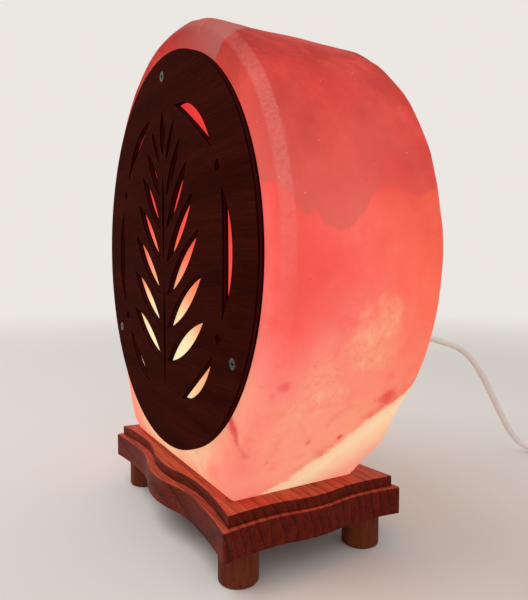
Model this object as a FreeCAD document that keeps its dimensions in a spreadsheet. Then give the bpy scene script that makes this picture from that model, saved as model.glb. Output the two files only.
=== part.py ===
import FreeCAD, Part
import math
import os
import re

import Sketcher
from FreeCAD import Placement, Rotation, Vector

# Salt crystal lamp. Millimetres, +X to the right, -Y to the front (the side of
# the fretwork panel), +Z up. The origin is on the table, under the middle of
# the base board.

SIZES = {
    # salt block: a thick disc on edge that runs down into a flat foot
    "salt_radius": 124.5,
    "salt_thickness": 90.4,
    "salt_centre_height": 119.6,
    "facet_angle": 38,
    "facet_knee_width": 86.8,
    "facet_knee_height": 23.4,
    "salt_foot_width": 70.1,
    "foot_slope_front": 4.5,
    "foot_slope_front_height": 9,
    "foot_slope_rear": 14.6,
    "foot_slope_rear_height": 25,
    "salt_bevel": 5,
    # bore for the bulb, drilled from the rear face
    "bore_radius": 23,
    "bore_height": 69.4,
    "bore_depth": 76,
    "bore_nose": 9,
    # feet
    "foot_radius": 10,
    "foot_height": 18.5,
    "foot_socket": 6,
    "foot_edge": 1.2,
    "foot_x": 70.6,
    "foot_y": 37.9,
    "glue_gap": 0.1,
    # base board: half sizes at its corners, scoops and noses
    "board_body": 14.3,
    "board_step": 5.8,
    "board_edge": 0.9,
    "board_corner": 1.5,
    "body_x_corner": 86.2,
    "body_x_scoop": 83.2,
    "body_x_nose": 85.6,
    "body_y_corner": 53.4,
    "body_y_scoop": 49.6,
    "body_y_nose": 56,
    "step_x_corner": 82.5,
    "step_x_scoop": 80.9,
    "step_x_nose": 83.6,
    "step_y_corner": 49.3,
    "step_y_scoop": 45.5,
    "step_y_nose": 51,
    "long_scoop_at": 42,
    "short_scoop_at": 26,
    # screws from under the board into wall plugs in the salt
    "crystal_screw_x": 50,
    "crystal_screw_radius": 2,
    "crystal_screw_head": 4,
    "crystal_plug_radius": 4,
    "crystal_plug_length": 30,
    # fretwork panel and its screws
    "panel_radius": 108.6,
    "panel_thickness": 3.15,
    "panel_screw_circle": 98.5,
    "panel_screw_radius": 1.6,
    "panel_screw_head": 2.8,
    "panel_screw_length": 22,
    "panel_plug_radius": 3,
    "panel_plug_length": 25,
    "screw_gap": 0.15,
    # fretwork: a leafed stem in a broken ring of crescents
    "leaf_pairs": 7,
    "leaf_length": 58,
    "leaf_slimness": 0.19,
    "leaf_first": -60,
    "leaf_pitch": 18.5,
    "leaf_rise": 28,
    "leaf_turn": 5,
    "leaf_taper": 13,
    "stem_gap": 4.5,
    "stem_width": 3.4,
    "crescent_circle": 81,
    "crescent_width": 10,
    "berry_radius": 2.6,
    # lampholder, along the bore from the salt's rear face
    "holder_radius": 13.5,
    "holder_wall": 2,
    "cap_reach": 6,
    "cap_length": 12,
    "cap_nose_radius": 8,
    "shell_length": 24,
    "insert_recess": 1,
    "insert_length": 7,
    "metal_sheet": 0.5,
    "ledge_radius": 8.2,
    "screw_shell_radius": 7.6,
    "fit_gap": 0.2,
    "clip_leg_width": 8,
    "clip_from": 18,
    "clip_collar": 6,
    "core_radius": 1,
    "core_spread": 3,
    "terminal_radius": 1.5,
    "terminal_spread": 7,
    # bulb
    "bulb_radius": 13,
    "bulb_length": 38,
    "bulb_cap_radius": 6.9,
    "bulb_cap_length": 14,
    "bulb_neck": 11,
    "glass_wall": 0.7,
    "contact_height": 0.8,
    # cord
    "cord_diameter": 4.8,
    "bush_length": 26,
    "bush_radius": 5,
    "bush_end_radius": 3.2,
    "small_bush_length": 20,
    # put-away coil
    "coil_y": 100,
    "coil_inner": 18.25,
    "coil_gap": 0.6,
    "coil_turns": 3.5,
    "tie_band": 0.6,
    "tie_width": 5,
    "tie_gap": 0.5,
    "tie_head_length": 6,
    "tie_head_height": 3,
    # in-line switch
    "switch_x": 148,
    "switch_y": 185,
    "switch_length": 58,
    "switch_width": 24,
    "switch_half": 8,
    "switch_wall": 2,
    "switch_corner": 5,
    "switch_edge": 1.2,
    "rocker_length": 20,
    "rocker_width": 11,
    "rocker_pivot_drop": 3.6,
    "rocker_tilt": 7,
    "rocker_gap": 0.3,
    "pivot_radius": 1.2,
    "pivot_ear_width": 2.4,
    "pivot_ear_length": 6,
    "contact_width": 5,
    "contact_length": 8,
    "pivot_gap": 0.05,
    "switch_screw_radius": 1.2,
    "switch_screw_at": 20,
    "switch_screw_across": 7,
    "switch_post_radius": 3.4,
    # plug
    "plug_y": 152,
    "plug_length": 36,
    "plug_width": 26.2,
    "plug_thickness": 13.7,
    "plug_round": 2.5,
    "pin_radius": 2,
    "pin_root_radius": 1.5,
    "pin_neck": 0.3,
    "pin_length": 19,
    "pin_spacing": 18.6,
    "pin_hold": 9,
}

doc = FreeCAD.newDocument("SaltCrystalLamp")
sheet = doc.addObject("Spreadsheet::Sheet", "Sizes")
for row, (alias, number) in enumerate(SIZES.items(), start=1):
    sheet.set(f"A{row}", alias)
    sheet.set(f"B{row}", str(number))
    sheet.setAlias(f"B{row}", alias)
doc.recompute()

nodes = {}

# Places that several pieces share, in the words of the sheet.
BOARD_TOP = "foot_height + board_body + board_step"
BORE_Z = f"{BOARD_TOP} + bore_height"
SALT_CENTRE_Z = f"{BOARD_TOP} + salt_centre_height"
SALT_FRONT = "salt_thickness / 2"
SEAM = "(cap_length - cap_reach)"
INSERT_FRONT = f"({SEAM} + insert_recess + insert_length)"
LEDGE = f"({INSERT_FRONT} + metal_sheet)"
SHELL_FRONT = f"({SEAM} + shell_length)"
BULB_SEAT = f"({SHELL_FRONT} + 1)"

COIL_OUTER = "(coil_inner + (coil_turns + 0.25) * (cord_diameter + coil_gap))"
COIL_X = f"(switch_x + {COIL_OUTER})"
PLUG_X = f"(switch_x + 2 * {COIL_OUTER})"

# Turns a piece's own +Z to the front, to the rear, or along the table.
TO_FRONT = Rotation(Vector(1, 0, 0), 90)
TO_REAR = Rotation(Vector(1, 0, 0), -90)
UPRIGHT = Rotation()


def bound(expression):
    """An expression in the sheet's words, as the document's objects need it."""
    return re.sub(r"\b([a-z][a-z0-9]*(?:_[a-z0-9]+)+)\b", r"Sizes.\1", expression)


def value(expression):
    return float(sheet.evalExpression(bound(expression)))


def place(piece, x="0", y="0", z="0", rotation=UPRIGHT):
    piece.Placement = Placement(Vector(), rotation)
    for axis, expression in zip("xyz", (x, y, z)):
        piece.setExpression(f"Placement.Base.{axis}", bound(expression))
    return piece


def keep(name, piece):
    """Makes a piece one of the lamp's named nodes."""
    piece.Label = name
    nodes[name] = piece
    return piece


def new_body(name):
    return doc.addObject("PartDesign::Body", name)


def new_sketch(body, role, name, lift=None):
    """A sketch on one of the body's own origin planes, lifted along its normal."""
    sketch = body.newObject("Sketcher::SketchObject", name)
    plane = next(f for f in body.Origin.OriginFeatures if f.Role == role)
    sketch.AttachmentSupport = [(plane, "")]
    sketch.MapMode = "FlatFace"
    if lift:
        sketch.setExpression("AttachmentOffset.Base.z", bound(lift))
    return sketch


def fix(sketch, geometry, end, x, y):
    """Ties a point of a sketch to its distances from the sketch's origin."""
    for kind, expression, axis in (("DistanceX", x, -2), ("DistanceY", y, -1)):
        if expression == "0":
            sketch.addConstraint(Sketcher.Constraint("PointOnObject", geometry, end, axis))
            continue
        number = value(expression)
        at = sketch.addConstraint(Sketcher.Constraint(kind, -1, 1, geometry, end, number))
        sketch.setExpression(f"Constraints[{at}]", bound(expression))


def arc_between(start, end, radius, side):
    """The arc under a half circle from start to end, its centre to the left (side 1) or right."""
    chord = end - start
    middle = (start + end) * 0.5
    left = Vector(-chord.y, chord.x, 0).normalize()
    depth = math.sqrt(max(radius**2 - (chord.Length / 2) ** 2, 0))
    centre = middle + left * depth * side
    first, last = (start, end) if side > 0 else (end, start)
    angles = [math.atan2(p.y - centre.y, p.x - centre.x) for p in (first, last)]
    circle = Part.Circle(centre, Vector(0, 0, 1), radius)
    return Part.ArcOfCircle(circle, angles[0], angles[1])


def draw(sketch, corners):
    """A closed outline. A corner is (x, y), or (x, y, radius, side) where an arc follows it."""
    points = [Vector(value(c[0]), value(c[1]), 0) for c in corners]
    ends = []
    for index, corner in enumerate(corners):
        start, end = points[index], points[(index + 1) % len(points)]
        if len(corner) == 2:
            geometry = sketch.addGeometry(Part.LineSegment(start, end))
            ends.append((geometry, 1, 2))
            continue
        radius, side = corner[2:]
        arc = arc_between(start, end, value(radius), side)
        geometry = sketch.addGeometry(arc)
        ends.append((geometry, 1, 2) if side > 0 else (geometry, 2, 1))
    for index, (geometry, _, last) in enumerate(ends):
        follower, first, _ = ends[(index + 1) % len(ends)]
        sketch.addConstraint(Sketcher.Constraint("Coincident", geometry, last, follower, first))
    for (geometry, first, _), corner in zip(ends, corners):
        fix(sketch, geometry, first, corner[0], corner[1])
        if len(corner) > 2:
            number = value(corner[2])
            at = sketch.addConstraint(Sketcher.Constraint("Radius", geometry, number))
            sketch.setExpression(f"Constraints[{at}]", bound(corner[2]))


def draw_circle(sketch, x, y, radius):
    centre = Vector(value(x), value(y), 0)
    circle = Part.Circle(centre, Vector(0, 0, 1), value(radius))
    geometry = sketch.addGeometry(circle)
    fix(sketch, geometry, 3, x, y)
    at = sketch.addConstraint(Sketcher.Constraint("Radius", geometry, value(radius)))
    sketch.setExpression(f"Constraints[{at}]", bound(radius))


def rectangle(half_x, half_y, x="0", y="0"):
    def at(centre, sign, half):
        return f"{sign}({half})" if centre == "0" else f"{centre} {sign} ({half})"

    signs = (("-", "-"), ("+", "-"), ("+", "+"), ("-", "+"))
    return [(at(x, a, half_x), at(y, b, half_y)) for a, b in signs]


def extrude(body, kind, role, length, name, corners=(), circles=(), lift=None, both=False, flip=False):
    """Pads or pockets one outline and any circles, and checks that it changed the solid."""
    sketch = new_sketch(body, role, f"{name}_outline", lift)
    if corners:
        draw(sketch, corners)
    for circle in circles:
        draw_circle(sketch, *circle)
    doc.recompute()
    before = body.Shape.Volume if body.Tip else 0
    feature = body.newObject(f"PartDesign::{kind}", name)
    feature.Profile = sketch
    feature.setExpression("Length", bound(length))
    feature.Midplane = both
    feature.Reversed = flip
    body.Tip = feature
    doc.recompute()
    if abs(body.Shape.Volume - before) < 1e-6:
        raise RuntimeError(f"{name} changed nothing")
    return feature


def turned(name, profile, label=None):
    """A turned body from (radius, height) corners round its own Z."""
    body = new_body(name)
    sketch = new_sketch(body, "XZ_Plane", f"{name}_profile")
    draw(sketch, profile)
    doc.recompute()
    feature = body.newObject("PartDesign::Revolution", f"{name}_turn")
    feature.Profile = sketch
    feature.ReferenceAxis = (sketch, ["V_Axis"])
    feature.Angle = 360
    body.Tip = feature
    if label:
        keep(label, body)
    return body


def edges_where(shape, test):
    """The names of a shape's edges that pass a test of the edge and its middle."""
    names = []
    for number, edge in enumerate(shape.Edges, start=1):
        middle = edge.valueAt((edge.FirstParameter + edge.LastParameter) / 2)
        if test(edge, middle):
            names.append(f"Edge{number}")
    return names


def soften(body, kind, size, test, name):
    """Fillets or chamfers the edges of a body that pass a test."""
    doc.recompute()
    base = body.Tip
    feature = body.newObject(f"PartDesign::{kind}", name)
    feature.Base = (base, edges_where(base.Shape, test))
    feature.setExpression("Radius" if kind == "Fillet" else "Size", bound(size))
    body.Tip = feature
    doc.recompute()
    return feature


def group(name, members):
    compound = doc.addObject("Part::Compound", name)
    compound.Links = members
    return keep(name, compound)


def cut(name, base, tools):
    """A piece less some others, as one document object."""
    tool = tools[0]
    if len(tools) > 1:
        tool = doc.addObject("Part::Compound", f"{name}_tools")
        tool.Links = tools
    result = doc.addObject("Part::Cut", name)
    result.Base = base
    result.Tool = tool
    return keep(name, result)


def cylinder(name, radius, height, x="0", y="0", z="0", rotation=UPRIGHT):
    piece = doc.addObject("Part::Cylinder", name)
    piece.setExpression("Radius", bound(radius))
    piece.setExpression("Height", bound(height))
    return place(piece, x, y, z, rotation)


def box(name, size_x, size_y, size_z, x="0", y="0", z="0"):
    """A box centred on x and y that stands on z."""
    piece = doc.addObject("Part::Box", name)
    piece.setExpression("Length", bound(size_x))
    piece.setExpression("Width", bound(size_y))
    piece.setExpression("Height", bound(size_z))
    return place(piece, f"{x} - ({size_x}) / 2", f"{y} - ({size_y}) / 2", z)


# ---- feet and base board -------------------------------------------------


def foot(name, side_x, side_y):
    corner = "foot_radius - foot_edge"
    dowel = turned(
        name,
        [
            ("0", "0"),
            (corner, "0", "foot_edge", 1),
            ("foot_radius", "foot_edge"),
            ("foot_radius", "foot_height + foot_socket - glue_gap"),
            ("0", "foot_height + foot_socket - glue_gap"),
        ],
        name,
    )
    place(dowel, f"{side_x}foot_x", f"{side_y}foot_y")


def wave(corner_at, corner, scoop, scoop_at, nose):
    """Half the profile of one edge of the board, as (along, out, radius, side) arcs.

    The edge swings in from its corner to a scoop and out again to a nose in its
    middle. Every arc is tangent to the next."""
    drop = f"(({corner}) - ({scoop}))"
    run = f"(({corner_at}) - ({scoop_at}))"
    rise = f"((({nose}) - ({scoop})) / 2)"
    half = f"(({scoop_at}) / 2)"
    outer = f"({run}^2 + {drop}^2) / (2 * {drop})"
    inner = f"({half}^2 + {rise}^2) / (2 * {rise})"
    shoulder = f"(({scoop}) + ({nose})) / 2"
    return [
        (f"-({corner_at})", corner, outer, -1),
        (f"-({scoop_at})", scoop, inner, -1),
        (f"-{half}", shoulder, inner, 1),
        (f"{half}", shoulder, inner, -1),
        (scoop_at, scoop, outer, -1),
    ]


def board_outline(part):
    corner_x, corner_y = f"{part}_x_corner", f"{part}_y_corner"
    long_edge = wave(corner_x, corner_y, f"{part}_y_scoop", "long_scoop_at", f"{part}_y_nose")
    short_edge = wave(corner_y, corner_x, f"{part}_x_scoop", "short_scoop_at", f"{part}_x_nose")
    front = [(u, f"-({v})", r, s) for u, v, r, s in long_edge]
    right = [(v, u, r, s) for u, v, r, s in short_edge]
    back = [(f"-({u})", v, r, s) for u, v, r, s in long_edge]
    left = [(f"-({v})", f"-({u})", r, s) for u, v, r, s in short_edge]
    return front + right + back + left


def base_board():
    board = new_body("base_board")
    screws = [(f"{side}crystal_screw_x", "0", "crystal_screw_radius + screw_gap") for side in ("", "-")]
    extrude(board, "Pad", "XY_Plane", "board_body", "board_slab", board_outline("body"))
    slab = board.Tip.Shape.BoundBox

    def upright_corner(edge, middle):
        upright = abs(edge.Vertexes[0].Z - edge.Vertexes[-1].Z) > 1
        return upright and abs(middle.x) > 0.98 * slab.XMax and abs(middle.y) > 0.94 * slab.YMax

    soften(board, "Fillet", "board_corner", upright_corner, "board_corners")
    body_top = value("board_body")
    soften(board, "Fillet", "board_edge", lambda e, m: abs(m.z - body_top) < 1e-3, "board_round")
    extrude(
        board, "Pad", "XY_Plane", "board_step + board_body", "board_tread", board_outline("step")
    )
    sockets = [
        (f"{a}foot_x", f"{b}foot_y", "foot_radius + glue_gap") for a in ("", "-") for b in ("", "-")
    ]
    extrude(board, "Pocket", "XY_Plane", "foot_socket", "foot_sockets", circles=sockets, flip=True)
    through = "board_body + board_step"
    extrude(board, "Pocket", "XY_Plane", through, "screw_holes", circles=screws, flip=True)
    sink = "crystal_screw_head - crystal_screw_radius"
    hole = value("crystal_screw_radius + screw_gap")

    def hole_mouth(edge, middle):
        round_edge = hasattr(edge.Curve, "Radius") and abs(edge.Curve.Radius - hole) < 1e-3
        return round_edge and abs(middle.z) < 1e-3

    soften(board, "Chamfer", sink, hole_mouth, "screw_sinks")
    keep("base_board", place(board, z="foot_height"))


def wood_screw(name, radius, head, length):
    """A countersunk screw, its head's face at height 0 and its point up."""
    sink = f"({head} - {radius})"
    return turned(
        name,
        [
            ("0", "0"),
            (head, "0"),
            (radius, sink),
            (radius, f"{length} - 2 * {radius}"),
            ("0", length),
        ],
    )


def wall_plug(name, outer, hole, length, hole_depth):
    """A plug whose mouth is at height 0, with the hole that its screw cuts."""
    return turned(
        name,
        [
            (hole, "0"),
            (f"{outer}", "0"),
            (f"{outer}", f"{length} - 1"),
            (f"{outer} - 1", length),
            ("0", length),
            ("0", hole_depth),
            (hole, f"{hole_depth} - 2 * ({hole})"),
        ],
    )


def crystal_fixings():
    screws, plugs = [], []
    reach = "board_body + board_step + crystal_plug_length - 4"
    for number, side in enumerate(("", "-"), start=1):
        screw = wood_screw(
            f"crystal_screw_{number}", "crystal_screw_radius", "crystal_screw_head", reach
        )
        screws.append(place(screw, f"{side}crystal_screw_x", z="foot_height"))
        plug = wall_plug(
            f"crystal_plug_{number}",
            "crystal_plug_radius",
            "(crystal_screw_radius + screw_gap)",
            "crystal_plug_length",
            "(crystal_plug_length - 3.5)",
        )
        plugs.append(place(plug, f"{side}crystal_screw_x", z=BOARD_TOP))
    group("crystal_screws", screws)
    group("crystal_plugs", plugs)


# ---- salt block ----------------------------------------------------------


def panel_screw_places():
    """The three places on the panel, as (x, height above its centre)."""
    return [
        (f"panel_screw_circle * cos({angle})", f"panel_screw_circle * sin({angle})")
        for angle in (90, 210, 330)
    ]


def salt_crystal():
    salt = new_body("salt_crystal")
    rim_x = "salt_radius * cos(facet_angle)"
    rim_z = "salt_centre_height - salt_radius * sin(facet_angle)"
    outline = [
        ("-salt_foot_width", "0"),
        ("salt_foot_width", "0"),
        ("facet_knee_width", "facet_knee_height"),
        (rim_x, rim_z, "salt_radius", 1),
        ("0", "salt_centre_height + salt_radius", "salt_radius", 1),
        (f"-{rim_x}", rim_z),
        ("-facet_knee_width", "facet_knee_height"),
    ]
    extrude(salt, "Pad", "XZ_Plane", "salt_thickness", "salt_block", outline, both=True)
    face_y = value(SALT_FRONT)

    def rim(edge, middle):
        return abs(abs(middle.y) - face_y) < 1e-3 and middle.z > 1e-3

    soften(salt, "Chamfer", "salt_bevel", rim, "salt_bevels")
    slopes = (("-", "front"), ("", "rear"))
    for side, word in slopes:
        slope = [
            (f"{side}({SALT_FRONT} - foot_slope_{word})", "0"),
            (f"{side}{SALT_FRONT}", f"foot_slope_{word}_height"),
            (f"{side}salt_thickness", f"foot_slope_{word}_height"),
            (f"{side}salt_thickness", "0"),
        ]
        extrude(salt, "Pocket", "YZ_Plane", "4 * salt_foot_width", f"{word}_slope", slope, both=True)
    bore = new_sketch(salt, "YZ_Plane", "bore_profile")
    bore.setExpression("AttachmentOffset.Base.y", bound("bore_height"))
    end = f"{SALT_FRONT} - bore_depth"
    draw(
        bore,
        [
            (end, "0"),
            (SALT_FRONT, "0"),
            (SALT_FRONT, "bore_radius"),
            (f"{end} + bore_nose", "bore_radius"),
            (end, "bore_radius - bore_nose"),
        ],
    )
    doc.recompute()
    before = salt.Shape.Volume
    groove = salt.newObject("PartDesign::Groove", "bulb_bore")
    groove.Profile = bore
    groove.ReferenceAxis = (bore, ["H_Axis"])
    groove.Angle = 360
    salt.Tip = groove
    doc.recompute()
    if salt.Shape.Volume > before - 1000:
        raise RuntimeError("the bore cut nothing")
    plug_holes = [
        (x, f"{z} + salt_centre_height", "panel_plug_radius + glue_gap")
        for x, z in panel_screw_places()
    ]
    extrude(
        salt,
        "Pocket",
        "XZ_Plane",
        "panel_plug_length + glue_gap",
        "panel_plug_holes",
        circles=plug_holes,
        lift=SALT_FRONT,
    )
    foot_holes = [
        (f"{side}crystal_screw_x", "0", "crystal_plug_radius + glue_gap") for side in ("", "-")
    ]
    extrude(
        salt,
        "Pocket",
        "XY_Plane",
        "crystal_plug_length + glue_gap",
        "crystal_plug_holes",
        circles=foot_holes,
        flip=True,
    )
    keep("salt_crystal", place(salt, z=BOARD_TOP))


# ---- fretwork panel ------------------------------------------------------


def leaf(start, angle, length, width):
    """A pointed leaf between two arcs, as a flat face in the panel's plane."""
    along = Vector(math.cos(math.radians(angle)), 0, math.sin(math.radians(angle)))
    across = Vector(-along.z, 0, along.x)
    tip = start + along * length
    belly = start + along * (0.45 * length)
    sides = [Part.Arc(start, belly + across * (s * width / 2), tip).toShape() for s in (1, -1)]
    return Part.Face(Part.Wire(sides))


def crescent(circle, width, first, last):
    """A long pointed slot that follows a circle between two angles."""
    def at(radius, angle):
        turn = math.radians(angle)
        return Vector(radius * math.cos(turn), 0, radius * math.sin(turn))

    middle = (first + last) / 2
    ends = [at(circle, angle) for angle in (first, last)]
    sides = [Part.Arc(ends[0], at(circle + s * width / 2, middle), ends[1]).toShape() for s in (1, -1)]
    return Part.Face(Part.Wire(sides))


def fretwork_faces():
    gap, pitch, first = (value(name) for name in ("stem_gap", "leaf_pitch", "leaf_first"))
    pairs = int(value("leaf_pairs"))
    stem_width = value("stem_width")
    circle, wide = value("crescent_circle"), value("crescent_width")
    faces = []
    for number in range(pairs):
        angle = value("leaf_rise") + number * value("leaf_turn")
        taper = math.cos(math.radians(value("leaf_taper") * (number - 1)))
        length = value("leaf_length") * taper
        for side in (1, -1):
            start = Vector(side * gap, 0, first + number * pitch)
            direction = angle if side > 0 else 180 - angle
            faces.append(leaf(start, direction, length, value("leaf_slimness") * length))
    stem_top = first + (pairs - 1) * pitch
    half_stem = (stem_top - first) / 2
    foot_of_stem = Vector(0, 0, first - pitch + gap)
    faces.append(leaf(foot_of_stem, 90, half_stem + gap, stem_width))
    faces.append(leaf(Vector(0, 0, first + half_stem), 90, half_stem - gap, stem_width))
    faces.append(leaf(Vector(0, 0, stem_top + gap), 90, 1.3 * pitch, 0.4 * pitch))
    for span, share in (((-22, 22), 1), ((37, 76), 0.75), ((-72, -37), 0.75)):
        for low, high in (span, (180 - span[1], 180 - span[0])):
            faces.append(crescent(circle, share * wide, low, high))
    for angle in (29.5, 150.5, -29.5, -150.5):
        turn = math.radians(angle)
        centre = Vector(circle * math.cos(turn), 0, circle * math.sin(turn))
        ring = Part.Circle(centre, Vector(0, 1, 0), value("berry_radius"))
        faces.append(Part.Face(Part.Wire(ring.toShape())))
    return faces


def fretwork_panel():
    disc = new_body("panel_disc")
    extrude(
        disc,
        "Pad",
        "XZ_Plane",
        "panel_thickness",
        "panel_blank",
        circles=[("0", "0", "panel_radius")],
    )
    holes = [(x, z, "panel_screw_radius + screw_gap") for x, z in panel_screw_places()]
    extrude(
        disc,
        "Pocket",
        "XZ_Plane",
        "panel_thickness",
        "panel_holes",
        circles=holes,
        lift="panel_thickness",
    )
    front = -value("panel_thickness")
    hole = value("panel_screw_radius + screw_gap")

    def hole_mouth(edge, middle):
        round_edge = hasattr(edge.Curve, "Radius") and abs(edge.Curve.Radius - hole) < 1e-3
        return round_edge and abs(middle.y - front) < 1e-3

    soften(disc, "Chamfer", "panel_screw_head - panel_screw_radius", hole_mouth, "panel_sinks")
    cutters = doc.addObject("Part::Feature", "fretwork_cutters")
    depth = value("panel_thickness")
    solids = [face.extrude(Vector(0, 3 * depth, 0)) for face in fretwork_faces()]
    whole = Part.makeCompound(solids)
    whole.translate(Vector(0, -2 * depth, 0))
    cutters.Shape = whole
    panel = cut("fretwork_panel", disc, [cutters])
    place(panel, y=f"-{SALT_FRONT}", z=SALT_CENTRE_Z)


def cross_recess(name, body, head):
    """A screw with the cross of its driver cut in the head."""
    long_side, short_side, depth = f"1.1 * {head}", f"0.28 * {head}", f"0.4 * {head}"
    bars = [
        box(f"{name}_bar_1", long_side, short_side, depth),
        box(f"{name}_bar_2", short_side, long_side, depth),
    ]
    tool = doc.addObject("Part::Compound", f"{name}_cross")
    tool.Links = bars
    result = doc.addObject("Part::Cut", f"{name}_driven")
    result.Base = body
    result.Tool = tool
    return result


def panel_fixings():
    screws, plugs = [], []
    for number, (x, z) in enumerate(panel_screw_places(), start=1):
        name = f"panel_screw_{number}"
        blank = wood_screw(name, "panel_screw_radius", "panel_screw_head", "panel_screw_length")
        screw = cross_recess(name, blank, "panel_screw_head")
        front = f"-({SALT_FRONT} + panel_thickness)"
        screws.append(place(screw, x, front, f"{SALT_CENTRE_Z} + {z}", TO_REAR))
        plug = wall_plug(
            f"panel_plug_{number}",
            "panel_plug_radius",
            "(panel_screw_radius + screw_gap)",
            "panel_plug_length",
            "(panel_screw_length - panel_thickness + 0.5)",
        )
        plugs.append(place(plug, x, f"-({SALT_FRONT})", f"{SALT_CENTRE_Z} + {z}", TO_REAR))
    group("panel_screws", screws)
    group("panel_plugs", plugs)


# ---- lampholder and bulb, along the bore ---------------------------------


def along_bore(piece, turn=0):
    """Puts a piece in the bore: height 0 at the salt's rear face, up to the front."""
    rotation = TO_FRONT.multiply(Rotation(Vector(0, 0, 1), turn))
    return place(piece, y=SALT_FRONT, z=BORE_Z, rotation=rotation)


def lampholder():
    nose = "-cap_reach"
    inside = "holder_radius - holder_wall"
    bush_hole = "(bush_radius - 0.8 + fit_gap)"
    cap = [
        (bush_hole, nose),
        ("cap_nose_radius", nose),
        ("holder_radius", f"{nose} + 0.6 * cap_length"),
        ("holder_radius", SEAM),
        (inside, SEAM),
        (inside, f"{nose} + 0.6 * cap_length"),
        ("cap_nose_radius - 0.5 * holder_wall", f"{nose} + holder_wall"),
        (bush_hole, f"{nose} + holder_wall"),
    ]
    along_bore(turned("lampholder_cap_body", cap, "lampholder_cap"))
    shell = [
        (inside, SEAM),
        ("holder_radius", SEAM),
        ("holder_radius", f"{SHELL_FRONT} - 1"),
        ("holder_radius - 1", SHELL_FRONT),
        ("ledge_radius", SHELL_FRONT),
        ("ledge_radius", LEDGE),
        (inside, LEDGE),
    ]
    along_bore(turned("lampholder_shell_body", shell, "lampholder_shell"))
    insert_radius = f"{inside} - fit_gap"
    insert = [
        ("0", f"{SEAM} + insert_recess"),
        (insert_radius, f"{SEAM} + insert_recess"),
        (insert_radius, INSERT_FRONT),
        ("0", INSERT_FRONT),
    ]
    along_bore(turned("lampholder_insert_body", insert, "lampholder_insert"))
    screw_shell = [
        ("screw_shell_radius - metal_sheet", INSERT_FRONT),
        (f"{insert_radius} - 0.5", INSERT_FRONT),
        (f"{insert_radius} - 0.5", LEDGE),
        ("screw_shell_radius", LEDGE),
        ("screw_shell_radius", f"{SHELL_FRONT} - 1.5"),
        ("screw_shell_radius - metal_sheet", f"{SHELL_FRONT} - 1.5"),
    ]
    along_bore(turned("screw_shell_body", screw_shell, "screw_shell"))
    contact = [
        ("0", INSERT_FRONT),
        ("2.4", INSERT_FRONT),
        ("1.6", f"{INSERT_FRONT} + contact_height"),
        ("0", f"{INSERT_FRONT} + contact_height"),
    ]
    along_bore(turned("centre_contact_body", contact, "centre_contact"))
    screws, cores = [], []
    for number, side in enumerate((1, -1), start=1):
        head = cylinder(
            f"terminal_screw_{number}",
            "terminal_radius",
            "insert_length / 3",
            f"{side} * terminal_spread",
            SALT_FRONT + f" - ({SEAM} + insert_recess - insert_length / 3)",
            BORE_Z,
            TO_FRONT,
        )
        screws.append(head)
        start = "(holder_wall + 1.5 - cap_reach)"
        cores.append(
            cylinder(
                f"core_wire_{number}",
                "core_radius",
                f"{SEAM} + insert_recess - {start}",
                f"{side} * core_spread",
                f"{SALT_FRONT} - {start}",
                BORE_Z,
                TO_FRONT,
            )
        )
    group("terminal_screws", screws)
    group("core_wires", cores)


def spring_clip():
    """A sprung collar on the holder with three barbed legs that press on the bore."""
    inner = "(holder_radius + 0.1)"
    outer = f"({inner} + metal_sheet)"
    top = "(clip_from + clip_collar)"
    collar = [(inner, "clip_from"), (outer, "clip_from"), (outer, top), (inner, top)]
    clip = turned("spring_clip", collar)
    wall = "(sqrt(bore_radius^2 - clip_leg_width^2 / 4) - glue_gap)"
    bend = f"({top} - 1.2 * ({wall} - {outer}))"
    foot_end = f"({bend} - 5)"
    leg = [
        (f"{inner} + 0.05", top),
        (f"{inner} + 0.05", f"{top} - 1.3 * metal_sheet"),
        (f"{wall} - metal_sheet", f"{bend}"),
        (f"{wall} - metal_sheet", foot_end),
        (wall, foot_end),
        (wall, f"{bend} + 0.4 * metal_sheet"),
        (f"{outer} + 0.3", top),
    ]
    arm = extrude(clip, "Pad", "XZ_Plane", "clip_leg_width", "clip_leg", leg, both=True)
    pattern = clip.newObject("PartDesign::PolarPattern", "clip_legs")
    pattern.Originals = [arm]
    axis = next(f for f in clip.Origin.OriginFeatures if f.Role == "Z_Axis")
    pattern.Axis = (axis, [""])
    pattern.Angle = 360
    pattern.Occurrences = 3
    clip.Tip = pattern
    keep("spring_clip", along_bore(clip, 30))


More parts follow.
